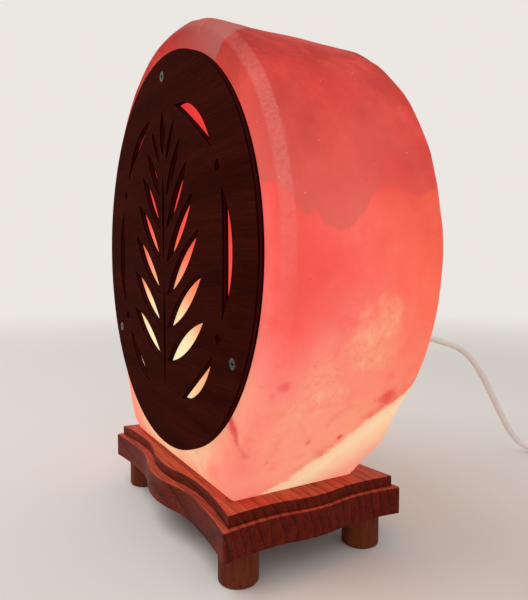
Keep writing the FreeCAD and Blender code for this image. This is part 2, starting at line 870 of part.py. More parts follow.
def bulb():
    cap_back = f"({BULB_SEAT} - bulb_cap_length)"
    inner = "bulb_cap_radius - 0.4"
    cap = [
        (inner, cap_back),
        ("bulb_cap_radius", cap_back),
        ("bulb_cap_radius", BULB_SEAT),
        (inner, BULB_SEAT),
    ]
    along_bore(turned("bulb_cap_body", cap, "bulb_cap"))
    tip_back = f"({INSERT_FRONT} + contact_height)"
    insulator_back = f"({cap_back} - 1.4)"
    tip = [
        ("0", tip_back),
        ("1.6", tip_back),
        ("2.2", insulator_back),
        ("0", insulator_back),
    ]
    along_bore(turned("bulb_tip_body", tip, "bulb_tip"))
    insulator = [
        ("0", insulator_back),
        ("2.8", insulator_back),
        ("bulb_cap_radius - 0.5", cap_back),
        ("bulb_cap_radius - 0.5", f"{cap_back} + 1.5"),
        ("0", f"{cap_back} + 1.5"),
    ]
    along_bore(turned("bulb_insulator_body", insulator, "bulb_insulator"))
    neck = "(bulb_cap_radius - 0.6)"
    neck_back = f"({BULB_SEAT} - bulb_neck)"
    widest = f"({BULB_SEAT} + bulb_length - bulb_radius)"
    end = f"({BULB_SEAT} + bulb_length)"
    shoulder = f"({BULB_SEAT} + 2)"
    run, rise = f"({widest} - {shoulder})", f"(bulb_radius - {neck})"
    flank = f"({run}^2 + {rise}^2) / (2 * {rise})"
    glass = [
        (f"{neck} - glass_wall", neck_back),
        (neck, neck_back),
        (neck, shoulder, f"1.02 * {flank}", 1),
        ("bulb_radius", widest, "bulb_radius", 1),
        ("0", end),
        ("0", f"{end} - glass_wall", "bulb_radius - glass_wall", -1),
        ("bulb_radius - glass_wall", widest, f"1.02 * {flank} - glass_wall", -1),
        (f"{neck} - glass_wall", shoulder),
    ]
    along_bore(turned("bulb_glass_body", glass, "bulb_glass"))
    stem_top = f"({BULB_SEAT} + bulb_length / 3)"
    stem_radius = f"({neck} - glass_wall - 0.1)"
    stem = [
        ("0", neck_back),
        (stem_radius, neck_back),
        (stem_radius, f"{neck_back} + 0.8"),
        ("1.8", f"{neck_back} + 4"),
        ("1.5", stem_top),
        ("0", stem_top),
    ]
    along_bore(turned("bulb_stem_body", stem, "bulb_stem"))
    top, spread, lift = value(stem_top), 0.5 * value("bulb_radius"), 0.3 * value("bulb_radius")
    route = [
        Vector(-1, 0, top),
        Vector(-1, 0, top + lift),
        Vector(-spread, 0, top + 2 * lift),
        Vector(-0.5 * spread, 0, top + 2.7 * lift),
        Vector(0, 0, top + 2.1 * lift),
        Vector(0.5 * spread, 0, top + 2.7 * lift),
        Vector(spread, 0, top + 2 * lift),
        Vector(1, 0, top + lift),
        Vector(1, 0, top),
    ]
    filament = doc.addObject("Part::Feature", "bulb_filament")
    filament.Shape = tube(route, 0.5)[0]
    keep("bulb_filament", along_bore(filament, 90))


# ---- cord ----------------------------------------------------------------


def tube(points, diameter):
    """A round tube along straight runs joined by tangent arcs.

    Each arc is as large as its two runs allow: 0.45 of the shorter run over the
    tangent of half the turn. Returns the solid, its length and its radii."""
    edges, radii, last = [], [], points[0]
    for before, corner, after in zip(points, points[1:], points[2:]):
        into, out = corner - before, after - corner
        turn = into.getAngle(out)
        reach = 0.45 * min(into.Length, out.Length)
        radii.append(reach / math.tan(turn / 2))
        start = corner - into.normalize() * reach
        end = corner + out.normalize() * reach
        chord_middle = (start + end) * 0.5
        share = math.tan(turn / 4) / math.tan(turn / 2)
        middle = chord_middle + (corner - chord_middle) * share
        edges.append(Part.LineSegment(last, start).toShape())
        edges.append(Part.Arc(start, middle, end).toShape())
        last = end
    edges.append(Part.LineSegment(last, points[-1]).toShape())
    return swept(edges, diameter), sum(edge.Length for edge in edges), radii


def swept(edges, diameter):
    """A solid round tube along edges that each go on from the one before."""
    start = edges[0].valueAt(edges[0].FirstParameter)
    direction = edges[0].tangentAt(edges[0].FirstParameter)
    ring = Part.Wire(Part.Circle(start, direction, diameter / 2).toShape())
    shell = Part.BRepOffsetAPI.MakePipeShell(Part.Wire(edges))
    shell.add(ring)
    shell.build()
    shell.makeSolid()
    return shell.shape()


def cord_piece(name, points):
    diameter = value("cord_diameter")
    solid, length, radii = tube(points, diameter)
    share = solid.Volume / (math.pi * diameter**2 / 4 * length)
    print(f"{name}: {length:.1f} mm, volume share {share:.4f}, lowest {solid.BoundBox.ZMin:.2f}")
    print("  radii:", " ".join(f"{radius:.0f}" for radius in radii))
    piece = doc.addObject("Part::Feature", name)
    piece.Shape = solid
    keep(name, piece)
    return length


def bush(name, back, length, wide, narrow, neck, wall):
    """A tapered strain relief round its own Z: flange, neck, then the taper, down to -back-length."""
    grip = "1.5"
    return turned(
        name,
        [
            ("0", f"{wall} - {back} + {grip}"),
            (f"{neck} + 1", f"{wall} - {back} + {grip}"),
            (f"{neck} + 1", f"{wall} - {back}"),
            (neck, f"{wall} - {back}"),
            (neck, f"-{back}"),
            (wide, f"-{back}"),
            (wide, f"-{back} - 2"),
            (narrow, f"-{back} - {length}"),
            ("0", f"-{back} - {length}"),
        ],
    )


def cord_bush():
    relief = bush(
        "cord_bush",
        "cap_reach",
        "bush_length",
        "bush_radius",
        "bush_end_radius",
        "(bush_radius - 0.8)",
        "holder_wall",
    )
    keep("cord_bush", along_bore(relief))


def lead_route():
    """From the lampholder's bush, out and down to the table, and on to the switch."""
    low, mid = value("cord_diameter / 2 + 0.1"), value("switch_half")
    exit_y = value(f"{SALT_FRONT} + cap_reach + bush_length")
    exit_z = value(BORE_Z)
    switch_x = value("switch_x")
    switch_end = value("switch_y + switch_length / 2 + small_bush_length")
    return [
        Vector(0, exit_y, exit_z),
        Vector(0, exit_y + 21, exit_z),
        Vector(4, 130, exit_z - 3.5),
        Vector(9, 160, exit_z - 11.5),
        Vector(12.5, 187, 87.5),
        Vector(14.5, 205, 67.5),
        Vector(17, 221, 39.5),
        Vector(19.5, 234, 18),
        Vector(22.5, 244, 7),
        Vector(27, 255, low),
        Vector(33, 268, low),
        Vector(46, 279.5, low),
        Vector(66, 284.5, low),
        Vector(switch_x - 61, 286, low),
        Vector(switch_x - 40, 283.5, low),
        Vector(switch_x - 22, switch_end + 43.5, low),
        Vector(switch_x - 9.5, switch_end + 34, low),
        Vector(switch_x - 2.5, switch_end + 22.5, low + 1.5),
        Vector(switch_x, switch_end + 11, mid),
        Vector(switch_x, switch_end, mid),
    ]


def coil_level(layer):
    diameter = value("cord_diameter")
    return value("tie_band") + 0.3 + diameter / 2 + layer * (diameter + value("coil_gap"))


def step_down(x, start, end, high, low):
    """A straight stretch that changes its height between two level ends."""
    run = (end - start) / 3
    heights = (high, high, low, low)
    return [Vector(x, start + index * run, height) for index, height in enumerate(heights)]


def link_route():
    """From the switch down to the start of the coil."""
    start = value("switch_y - switch_length / 2 - small_bush_length")
    ends = (start, value("coil_y"))
    return step_down(value("switch_x"), *ends, value("switch_half"), coil_level(0))


def tail_route():
    """From the top of the coil to the plug."""
    end = value("plug_y - small_bush_length")
    ends = (value("coil_y"), end)
    return step_down(value(PLUG_X), *ends, coil_level(1), value("plug_thickness / 2"))


def coil_point(turns):
    """The coil's centreline after some turns: in along the table and out again
    at one steady rate, with a climb to the upper layer in the middle half turn."""
    middle = value("coil_turns + 0.25")
    radius = value("coil_inner") + abs(turns - middle) * value("cord_diameter + coil_gap")
    share = min(max(2 * (turns - middle) + 0.5, 0), 1)
    rise = (1 - math.cos(math.pi * share)) / 2
    height = coil_level(0) + rise * (coil_level(1) - coil_level(0))
    angle = math.pi + 2 * math.pi * turns
    x = value(COIL_X) + radius * math.cos(angle)
    y = value("coil_y") + radius * math.sin(angle)
    return Vector(x, y, height)


def biarc(start, heading, end, leaving):
    """Two tangent arcs from start to end with the headings given."""
    chord = end - start
    both = heading + leaving
    bend = 2 * (1 - heading.dot(leaving))
    along = chord.dot(both)
    reach = (math.sqrt(along**2 + bend * chord.dot(chord)) - along) / bend
    first, second = start + heading * reach, end - leaving * reach
    joint = (first + second) * 0.5
    edges = []
    for a, corner, b in ((start, first, joint), (joint, second, end)):
        middle = (a + b) * 0.5
        turn = (corner - a).getAngle(b - corner)
        share = math.tan(turn / 4) / math.tan(turn / 2)
        edges.append(Part.Arc(a, middle + (corner - middle) * share, b).toShape())
    return edges


def cord_coil():
    diameter = value("cord_diameter")
    total = 2 * value("coil_turns") + 0.5
    steps = round(total * 4)
    turns = [total * index / steps for index in range(steps + 1)]
    points = [coil_point(t) for t in turns]
    small = 0.001
    headings = []
    for t in turns:
        low, high = max(t - small, 0), min(t + small, total)
        headings.append((coil_point(high) - coil_point(low)).normalize())
    headings[0] = Vector(0, -1, 0)
    headings[-1] = Vector(0, 1, 0)
    edges = []
    for index in range(steps):
        edges += biarc(points[index], headings[index], points[index + 1], headings[index + 1])
    solid = swept(edges, diameter)
    length = sum(edge.Length for edge in edges)
    share = solid.Volume / (math.pi * diameter**2 / 4 * length)
    samples = [coil_point(total * index / 1200) for index in range(1201)]
    apart = min(
        (samples[i] - samples[j]).Length
        for i in range(0, 1201, 4)
        for j in range(i + 60, 1201)
    )
    print(f"cord_coil: {length:.1f} mm, volume share {share:.4f}, least gap {apart - diameter:.2f}")
    piece = doc.addObject("Part::Feature", "cord_coil")
    piece.Shape = solid
    keep("cord_coil", piece)
    return length


def coil_tie():
    """A flat releasable band round all the turns, on the coil's far side."""
    pad = "(cord_diameter / 2 + tie_gap)"
    inside_y = f"({COIL_OUTER} - coil_inner + 2 * {pad})"
    inside_z = "(2 * cord_diameter + coil_gap + tie_gap + 0.3)"
    middle_y = f"coil_y + ({COIL_OUTER} + coil_inner) / 2"
    ring = box(
        "tie_outside",
        "tie_width",
        f"{inside_y} + 2 * tie_band",
        f"{inside_z} + 2 * tie_band",
        COIL_X,
        middle_y,
    )
    hollow = box("tie_inside", "2 * tie_width", inside_y, inside_z, COIL_X, middle_y, "tie_band")
    band = doc.addObject("Part::Cut", "tie_band_loop")
    band.Base = ring
    band.Tool = hollow
    head = box(
        "tie_head",
        "tie_width + 2",
        "tie_head_length",
        "tie_head_height",
        COIL_X,
        middle_y,
        f"{inside_z} + 2 * tie_band",
    )
    whole = doc.addObject("Part::Fuse", "coil_tie")
    whole.Base = band
    whole.Tool = head
    keep("coil_tie", whole)


# ---- in-line switch ------------------------------------------------------

SWITCH_INNER_X = "(switch_width / 2 - switch_wall)"
SWITCH_INNER_Y = "(switch_length / 2 - switch_wall)"
PIVOT_Z = "(2 * switch_half - rocker_pivot_drop)"
NECK = "(cord_diameter / 2 + 1)"


def switch_half_shell(name, lift):
    """One half of the housing: an open tray, its open side at the seam."""
    shell = new_body(name)
    outline = rectangle("switch_width / 2", "switch_length / 2")
    extrude(shell, "Pad", "XY_Plane", "switch_half", f"{name}_block", outline)
    floor_z = 0 if lift == "0" else value("switch_half")
    half_x, half_y = value("switch_width / 2"), value("switch_length / 2")

    def upright(edge, middle):
        return abs(abs(middle.x) - half_x) < 1e-3 and abs(abs(middle.y) - half_y) < 1e-3

    soften(shell, "Fillet", "switch_corner", upright, f"{name}_corners")
    soften(shell, "Fillet", "switch_edge", lambda e, m: abs(m.z - floor_z) < 1e-3, f"{name}_round")
    cavity = rectangle(SWITCH_INNER_X, SWITCH_INNER_Y)
    if lift == "0":
        extrude(
            shell,
            "Pocket",
            "XY_Plane",
            "switch_half - switch_wall",
            f"{name}_hollow",
            cavity,
            lift="switch_half",
        )
    else:
        extrude(
            shell,
            "Pocket",
            "XY_Plane",
            "switch_half - switch_wall",
            f"{name}_hollow",
            cavity,
            flip=True,
        )
    return shell


def bush_channel(name):
    """The round way that both halves leave for the two bushes."""
    return cylinder(
        name,
        f"{NECK} + fit_gap / 2",
        "switch_length + 10",
        "switch_x",
        "switch_y - switch_length / 2 - 5",
        "switch_half",
        TO_REAR,
    )


def switch_post(name, radius, low, height, side):
    x, y = f"switch_x {side} switch_screw_across", f"switch_y {side} switch_screw_at"
    return cylinder(name, radius, height, x, y, low)


def switch_base():
    tray = place(switch_half_shell("switch_tray", "0"), "switch_x", "switch_y")
    posts = [tray]
    holes = [bush_channel("base_channel")]
    for number, side in enumerate(("+", "-"), start=1):
        height = "switch_half - switch_wall"
        post = switch_post(
            f"base_post_{number}", "switch_post_radius", "0.5 * switch_wall", f"{height} + 1", side
        )
        posts.append(post)
        hole = "switch_screw_radius + screw_gap"
        holes.append(switch_post(f"base_hole_{number}", hole, "-1", "switch_half + 2", side))
        sink = "2 * switch_screw_radius + screw_gap"
        holes.append(switch_post(f"base_sink_{number}", sink, "-1", "2.2", side))
    whole = doc.addObject("Part::MultiFuse", "switch_base_blank")
    whole.Shapes = posts
    cut("switch_base", whole, holes)


def switch_cover():
    lid = switch_half_shell("switch_lid", "switch_half")
    place(lid, "switch_x", "switch_y", "switch_half")
    parts = [lid]
    window = box(
        "rocker_window",
        "rocker_width + 2 * rocker_gap",
        "rocker_length + 6 * rocker_gap",
        "2 * switch_wall",
        "switch_x",
        "switch_y",
        "2 * switch_half - 1.5 * switch_wall",
    )
    holes = [bush_channel("cover_channel"), window]
    for number, side in enumerate(("+", "-"), start=1):
        height = "switch_half - switch_wall"
        post = switch_post(
            f"cover_post_{number}", "switch_post_radius", "switch_half", f"{height} + 1", side
        )
        parts.append(post)
        hole = "switch_screw_radius + screw_gap / 2"
        holes.append(
            switch_post(f"cover_hole_{number}", hole, "switch_half - 1", "switch_half - 1", side)
        )
        ear_x = f"switch_x {side} (rocker_width / 2 + rocker_gap + pivot_ear_width / 2)"
        ear_low = f"({PIVOT_Z} - pivot_radius - 1.4)"
        ear = (
            "pivot_ear_width",
            "pivot_ear_length",
            f"2 * switch_half - 0.5 * switch_wall - {ear_low}",
        )
        parts.append(box(f"pivot_ear_{number}", *ear, ear_x, "switch_y", ear_low))
    pivot = cylinder(
        "pivot_bore",
        "pivot_radius + pivot_gap",
        "rocker_width + 6",
        "switch_x - rocker_width / 2 - 3",
        "switch_y",
        PIVOT_Z,
        Rotation(Vector(0, 1, 0), 90),
    )
    whole = doc.addObject("Part::MultiFuse", "switch_cover_blank")
    whole.Shapes = parts
    cut("switch_cover", whole, holes + [pivot])


def switch_rocker():
    """The rocker lies pressed on one side: tilted about its pivot's axis."""
    rocker = new_body("switch_rocker")
    half = "rocker_length / 2"
    crown = "(rocker_pivot_drop + 2)"
    side_view = [
        ("-rocker_length / 4", "-1.6"),
        ("rocker_length / 4", "-1.6"),
        (half, "-0.2"),
        (half, crown, "3.2 * rocker_length", -1),
        ("0", f"{crown} - 0.9", "3.2 * rocker_length", -1),
        (f"-{half}", crown),
        (f"-{half}", "-0.2"),
    ]
    extrude(rocker, "Pad", "YZ_Plane", "rocker_width", "rocker_block", side_view, both=True)
    pins = "rocker_width + 4"
    extrude(
        rocker,
        "Pad",
        "YZ_Plane",
        pins,
        "rocker_pins",
        circles=[("0", "0", "pivot_radius")],
        both=True,
    )
    place(rocker, "switch_x", "switch_y", PIVOT_Z)
    rocker.Placement.Rotation = Rotation(Vector(1, 0, 0), value("rocker_tilt"))
    keep("switch_rocker", rocker)


def switch_inside():
    contacts, screws, bushes = [], [], []
    for number, side in enumerate(("+", "-"), start=1):
        contacts.append(
            box(
                f"switch_contact_{number}",
                "contact_width",
                "contact_length",
                "metal_sheet",
                "switch_x",
                f"switch_y {side} rocker_length / 4",
                "switch_wall",
            )
        )
        screw = turned(
            f"switch_screw_{number}",
            [
                ("0", "0"),
                ("2 * switch_screw_radius", "0"),
                ("2 * switch_screw_radius", "0.7"),
                ("switch_screw_radius", "0.7"),
                ("switch_screw_radius", "1.7 * switch_half - 3"),
                ("0", "1.7 * switch_half - 2"),
            ],
        )
        x, y = f"switch_x {side} switch_screw_across", f"switch_y {side} switch_screw_at"
        screws.append(place(screw, x, y, "0.5"))
        relief = bush(
            f"switch_bush_{number}",
            "0",
            "small_bush_length",
            "(bush_end_radius + 1.2)",
            "bush_end_radius",
            NECK,
            "(switch_wall + fit_gap)",
        )
        turn = TO_FRONT if side == "+" else TO_REAR
        end = f"switch_y {side} switch_length / 2"
        bushes.append(place(relief, "switch_x", end, "switch_half", turn))
    group("switch_contacts", contacts)
    group("switch_screws", screws)
    group("switch_bushes", bushes)


# ---- plug ----------------------------------------------------------------


def plug():
    body = new_body("plug_moulding")
    tail = "(bush_end_radius + 3)"
    outline = [
        (f"-{tail}", "0"),
        (tail, "0"),
        ("plug_width / 2", "0.5 * plug_length"),
        ("plug_width / 2", "plug_length"),
        ("-plug_width / 2", "plug_length"),
        ("-plug_width / 2", "0.5 * plug_length"),
    ]
    extrude(body, "Pad", "XY_Plane", "plug_thickness", "plug_block", outline)
    front = value("plug_length")

    def not_on_front(edge, middle):
        return abs(middle.y - front) > 1e-3 and abs(middle.y) > 1e-3

    soften(body, "Fillet", "plug_round", not_on_front, "plug_rounds")
    place(body, PLUG_X, "plug_y")
    pins, holes = [], []
    for number, side in enumerate(("+", "-"), start=1):
        where = (
            f"{PLUG_X} {side} pin_spacing / 2",
            "plug_y + plug_length - pin_hold",
            "plug_thickness / 2",
        )
        pin = turned(
            f"plug_pin_{number}",
            [
                ("0", "0"),
                ("pin_root_radius", "0"),
                ("pin_root_radius", "pin_hold + pin_neck"),
                ("pin_radius", "pin_hold + pin_neck"),
                ("pin_radius", "pin_hold + pin_length - 1"),
                ("pin_radius - 1", "pin_hold + pin_length"),
                ("0", "pin_hold + pin_length"),
            ],
        )
        pins.append(place(pin, *where, TO_REAR))
        hole = "pin_root_radius + pivot_gap"
        holes.append(cylinder(f"pin_hole_{number}", hole, "2 * pin_hold", *where, TO_REAR))
    group("plug_pins", pins)
    cut("plug_body", body, holes)
    relief = turned(
        "plug_relief",
        [
            ("0", "0"),
            ("bush_end_radius + 2", "0"),
            ("bush_end_radius", "small_bush_length"),
            ("0", "small_bush_length"),
        ],
    )
    keep("plug_bush", place(relief, PLUG_X, "plug_y", "plug_thickness / 2", TO_FRONT))


# ---- the lamp ------------------------------------------------------------

for side_y, depth_word in (("-", "front"), ("", "rear")):
    for side_x, width_word in (("", "right"), ("-", "left")):
        foot(f"foot_{depth_word}_{width_word}", side_x, side_y)
base_board()
crystal_fixings()
salt_crystal()
fretwork_panel()
panel_fixings()
lampholder()
spring_clip()
bulb()
cord_bush()
switch_base()
switch_cover()
switch_rocker()
switch_inside()
plug()
cord_total = cord_piece("cord_lead", lead_route())
cord_total += cord_piece("cord_link", link_route())
cord_total += cord_coil()
cord_total += cord_piece("cord_tail", tail_route())
coil_tie()
cord_total += value("switch_length + 2 * small_bush_length")
print(f"cord from the lampholder to the plug, through the switch: {cord_total:.0f} mm")

doc.recompute()
for item in doc.Objects:
    if {"Invalid", "Error"} & set(item.State):
        raise RuntimeError(f"{item.Label} failed: {item.State}")
os.makedirs("parts", exist_ok=True)
for name, piece in nodes.items():
    shape = piece.Shape
    if shape.isNull() or not shape.isValid():
        raise RuntimeError(f"{name} is not a valid shape")
    shape.exportStep(f"parts/{name}.step")
    print(f"{name}: {len(shape.Solids)} solid(s), {shape.Volume / 1000:.2f} cm3")
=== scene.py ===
import math
from functools import partial
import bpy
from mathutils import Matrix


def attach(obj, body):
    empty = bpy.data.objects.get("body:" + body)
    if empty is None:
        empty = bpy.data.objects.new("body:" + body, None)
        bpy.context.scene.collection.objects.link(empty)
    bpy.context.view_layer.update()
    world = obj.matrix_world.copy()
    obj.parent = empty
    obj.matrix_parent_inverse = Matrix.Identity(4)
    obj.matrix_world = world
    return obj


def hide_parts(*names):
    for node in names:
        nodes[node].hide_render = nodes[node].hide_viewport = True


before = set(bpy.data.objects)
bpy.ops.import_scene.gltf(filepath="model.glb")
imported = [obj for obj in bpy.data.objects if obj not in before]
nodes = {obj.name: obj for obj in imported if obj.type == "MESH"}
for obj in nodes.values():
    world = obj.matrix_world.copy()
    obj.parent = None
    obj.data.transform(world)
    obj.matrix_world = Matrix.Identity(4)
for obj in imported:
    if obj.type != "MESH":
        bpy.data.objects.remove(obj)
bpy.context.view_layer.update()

from types import SimpleNamespace

import bpy
from mathutils import Vector

scene = bpy.context.scene
print("frame loaded:", len(nodes), "nodes")


# small helpers

def deselectAll():
    if bpy.context.object and bpy.context.object.mode != "OBJECT":
        bpy.ops.object.mode_set(mode="OBJECT")
    bpy.ops.object.select_all(action="DESELECT")


def makeActive(piece):
    deselectAll()
    piece.select_set(True)
    bpy.context.view_layer.objects.active = piece


def srgb(hexText):
    # an sRGB hex colour as the linear one that Blender works in
    parts = [int(hexText[place:place + 2], 16) / 255 for place in (1, 3, 5)]
    return [part / 12.92 if part <= 0.04045 else ((part + 0.055) / 1.055) ** 2.4 for part in parts] + [1.0]


def turnTowards(piece, direction):
    piece.rotation_mode = "QUATERNION"
    piece.rotation_quaternion = direction.to_track_quat("-Z", "Y")


def applyModifier(piece, name, kind, **settings):
    modifier = piece.modifiers.new(name, kind)
    for key, value in settings.items():
        setattr(modifier, key, value)
    bpy.ops.object.modifier_apply(modifier=modifier.name)


def rampUp(value, start, width):
    # 0 up to start, 1 from width further on
    return min(max((value - start) / width, 0), 1)


def setInputs(tree, node, values):
    # a node's inputs go by name or number, and get a number, a colour or another node's output
    for key, value in values.items():
        if isinstance(value, bpy.types.NodeSocket):
            tree.links.new(value, node.inputs[key])
        else:
            node.inputs[key].default_value = value


def addNode(tree, kind, inputs, give=0, stops=(), **settings):
    # adds a shader node and returns the output that give names; stops are a colour ramp's (place,
    # hex) pairs, and a colour Mix has its colours at 6 and 7, because its names repeat
    node = tree.nodes.new("ShaderNode" + kind)
    for name, value in settings.items():
        setattr(node, name, value)
    setInputs(tree, node, inputs)
    for number, (place, colour) in enumerate(stops):
        if number > 1:
            node.color_ramp.elements.new(1.0)
        element = node.color_ramp.elements[number]
        element.position = place
        element.color = srgb(colour)
    return node.outputs[give]


def newMaterial(name):
    material = bpy.data.materials.new(name)
    material.use_nodes = True
    tree = material.node_tree
    shader = tree.nodes["Principled BSDF"]
    return material, tree, shader, partial(addNode, tree)


def placeInMm(add):
    # the place on the piece that is being coloured, in mm
    return add("VectorMath", {0: add("TexCoord", {}, "Object"), "Scale": 1000.0}, operation="SCALE")


def dress(name, material):
    # gives a CAD node its finish
    mesh = nodes[name].data
    mesh.materials.clear()
    mesh.materials.append(material)


def nodeBox(name):
    # a CAD node's lowest and highest corner, in mm
    piece = nodes[name]
    corners = [piece.matrix_world @ Vector(corner) for corner in piece.bound_box]
    low = Vector([min(corner[axis] for corner in corners) for axis in range(3)])
    high = Vector([max(corner[axis] for corner in corners) for axis in range(3)])
    return low * 1000, high * 1000


# places that several pieces share, taken from the CAD, in mm

saltLow, saltHigh = nodeBox("salt_crystal")
panelLow, panelHigh = nodeBox("fretwork_panel")
glassLow, glassHigh = nodeBox("bulb_glass")
discHeight = (panelLow.z + panelHigh.z) / 2     # of the axis of the salt disc and its panel
bulbHeight = (glassLow.z + glassHigh.z) / 2     # of the axis of the bulb and its bore
print(f"salt disc axis at {discHeight:.1f} mm, bulb axis at {bulbHeight:.1f} mm")


# camera at the photograph's angle

cameraSettings = {
    "eye": (0.30786, -0.16084, 0.15428),
    "forward": (-0.863449, 0.499903, -0.067477),
    "lens": 34.06,
}


def placeCamera():
    bpy.ops.object.camera_add(location=cameraSettings["eye"])
    camera = bpy.context.object
    camera.name = "viewCamera"
    turnTowards(camera, Vector(cameraSettings["forward"]))
    camera.data.sensor_width = 36.0
    camera.data.lens = cameraSettings["lens"]
    camera.data.clip_start = 0.01
    scene.camera = camera


placeCamera()
print("camera placed")


# the cord, one spline from the lampholder's bush through the switch and coil to the plug

cordSettings = {
    "diameter": 0.0048,     # in metres, as the length is, and the rest in mm
    "low": 2.5,             # height of its centre where it lies on the table
    "switchX": 148.0,
    "switchHeight": 8.0,
    "plugHeight": 6.85,
    "coilInner": 18.25,
    "coilPitch": 5.4,
    "coilTurns": 3.5,       # in each layer
    "coilCrossing": 0.5,    # turns in which the cord climbs from the lower layer to the upper one
    "coilY": 100.0,
    "coilLow": 3.3,
    "coilHigh": 8.7,
    "pointsPerTurn": 16,
    "length": 1.89,
}


def coilPoints():
    # inwards in the lower layer and outwards in the upper one
    sizes = cordSettings
    middle = sizes["coilTurns"] + sizes["coilCrossing"] / 2
    outer = sizes["coilInner"] + middle * sizes["coilPitch"]
    coilX, coilY = sizes["switchX"] + outer, sizes["coilY"]
    steps = round(2 * middle * sizes["pointsPerTurn"])
    points = []
    for step in range(1, steps):
        turns = step / sizes["pointsPerTurn"]
        radius = sizes["coilInner"] + abs(turns - middle) * sizes["coilPitch"]
        climbed = rampUp(turns, sizes["coilTurns"], sizes["coilCrossing"])
        rise = (1 - math.cos(math.pi * climbed)) / 2
        height = sizes["coilLow"] + rise * (sizes["coilHigh"] - sizes["coilLow"])
        angle = math.pi + 2 * math.pi * turns
        points.append((coilX + radius * math.cos(angle), coilY + radius * math.sin(angle), height))
    return points, coilX + outer


def cordRoute():
    sizes = cordSettings
    low, switchX, switchZ, plugZ = (sizes[key] for key in ("low", "switchX", "switchHeight", "plugHeight"))
    coilY, coilLow, coilHigh = (sizes[key] for key in ("coilY", "coilLow", "coilHigh"))
    coil, plugX = coilPoints()
    lead = [
        (0, 77.2, 108), (0, 98.2, 108), (4, 130, 104.5), (9, 160, 96.5), (12.5, 187, 87.5),
        (14.5, 205, 67.5), (17, 221, 39.5), (19.5, 234, 18), (22.5, 244, 7), (27, 255, low),
        (33, 268, low), (46, 279.5, low), (66, 284.5, low), (switchX - 61, 286, low),
        (switchX - 40, 283.5, low), (switchX - 22, 277.5, low), (switchX - 9.5, 268, low),
        (switchX - 2.5, 256.5, low + 1.5), (switchX, 245, switchZ), (switchX, 234, switchZ),
    ]
    link = [
        (switchX, 136, switchZ), (switchX, 124, switchZ), (switchX, 112, coilLow),
        (switchX, coilY, coilLow),
    ]
    tail = [
        (plugX, coilY, coilHigh), (plugX, 110.67, coilHigh), (plugX, 121.33, plugZ),
        (plugX, 132, plugZ),
    ]
    return lead + link + coil + tail


def makeCord():
    curve = bpy.data.curves.new("mainsCord", "CURVE")
    curve.dimensions = "3D"
    curve.bevel_depth = cordSettings["diameter"] / 2
    curve.bevel_resolution = 5
    curve.resolution_u = 6
    curve.use_fill_caps = True
    points = cordRoute()
    spline = curve.splines.new("NURBS")
    spline.points.add(len(points) - 1)
    for point, place in zip(spline.points, points):
        point.co = (place[0] / 1000, place[1] / 1000, place[2] / 1000, 1.0)
    spline.order_u = 3
    spline.use_endpoint_u = True
    cord = bpy.data.objects.new("mainsCord", curve)
    scene.collection.objects.link(cord)
    return cord


mainsCord = makeCord()
print("cord laid")


# finishes

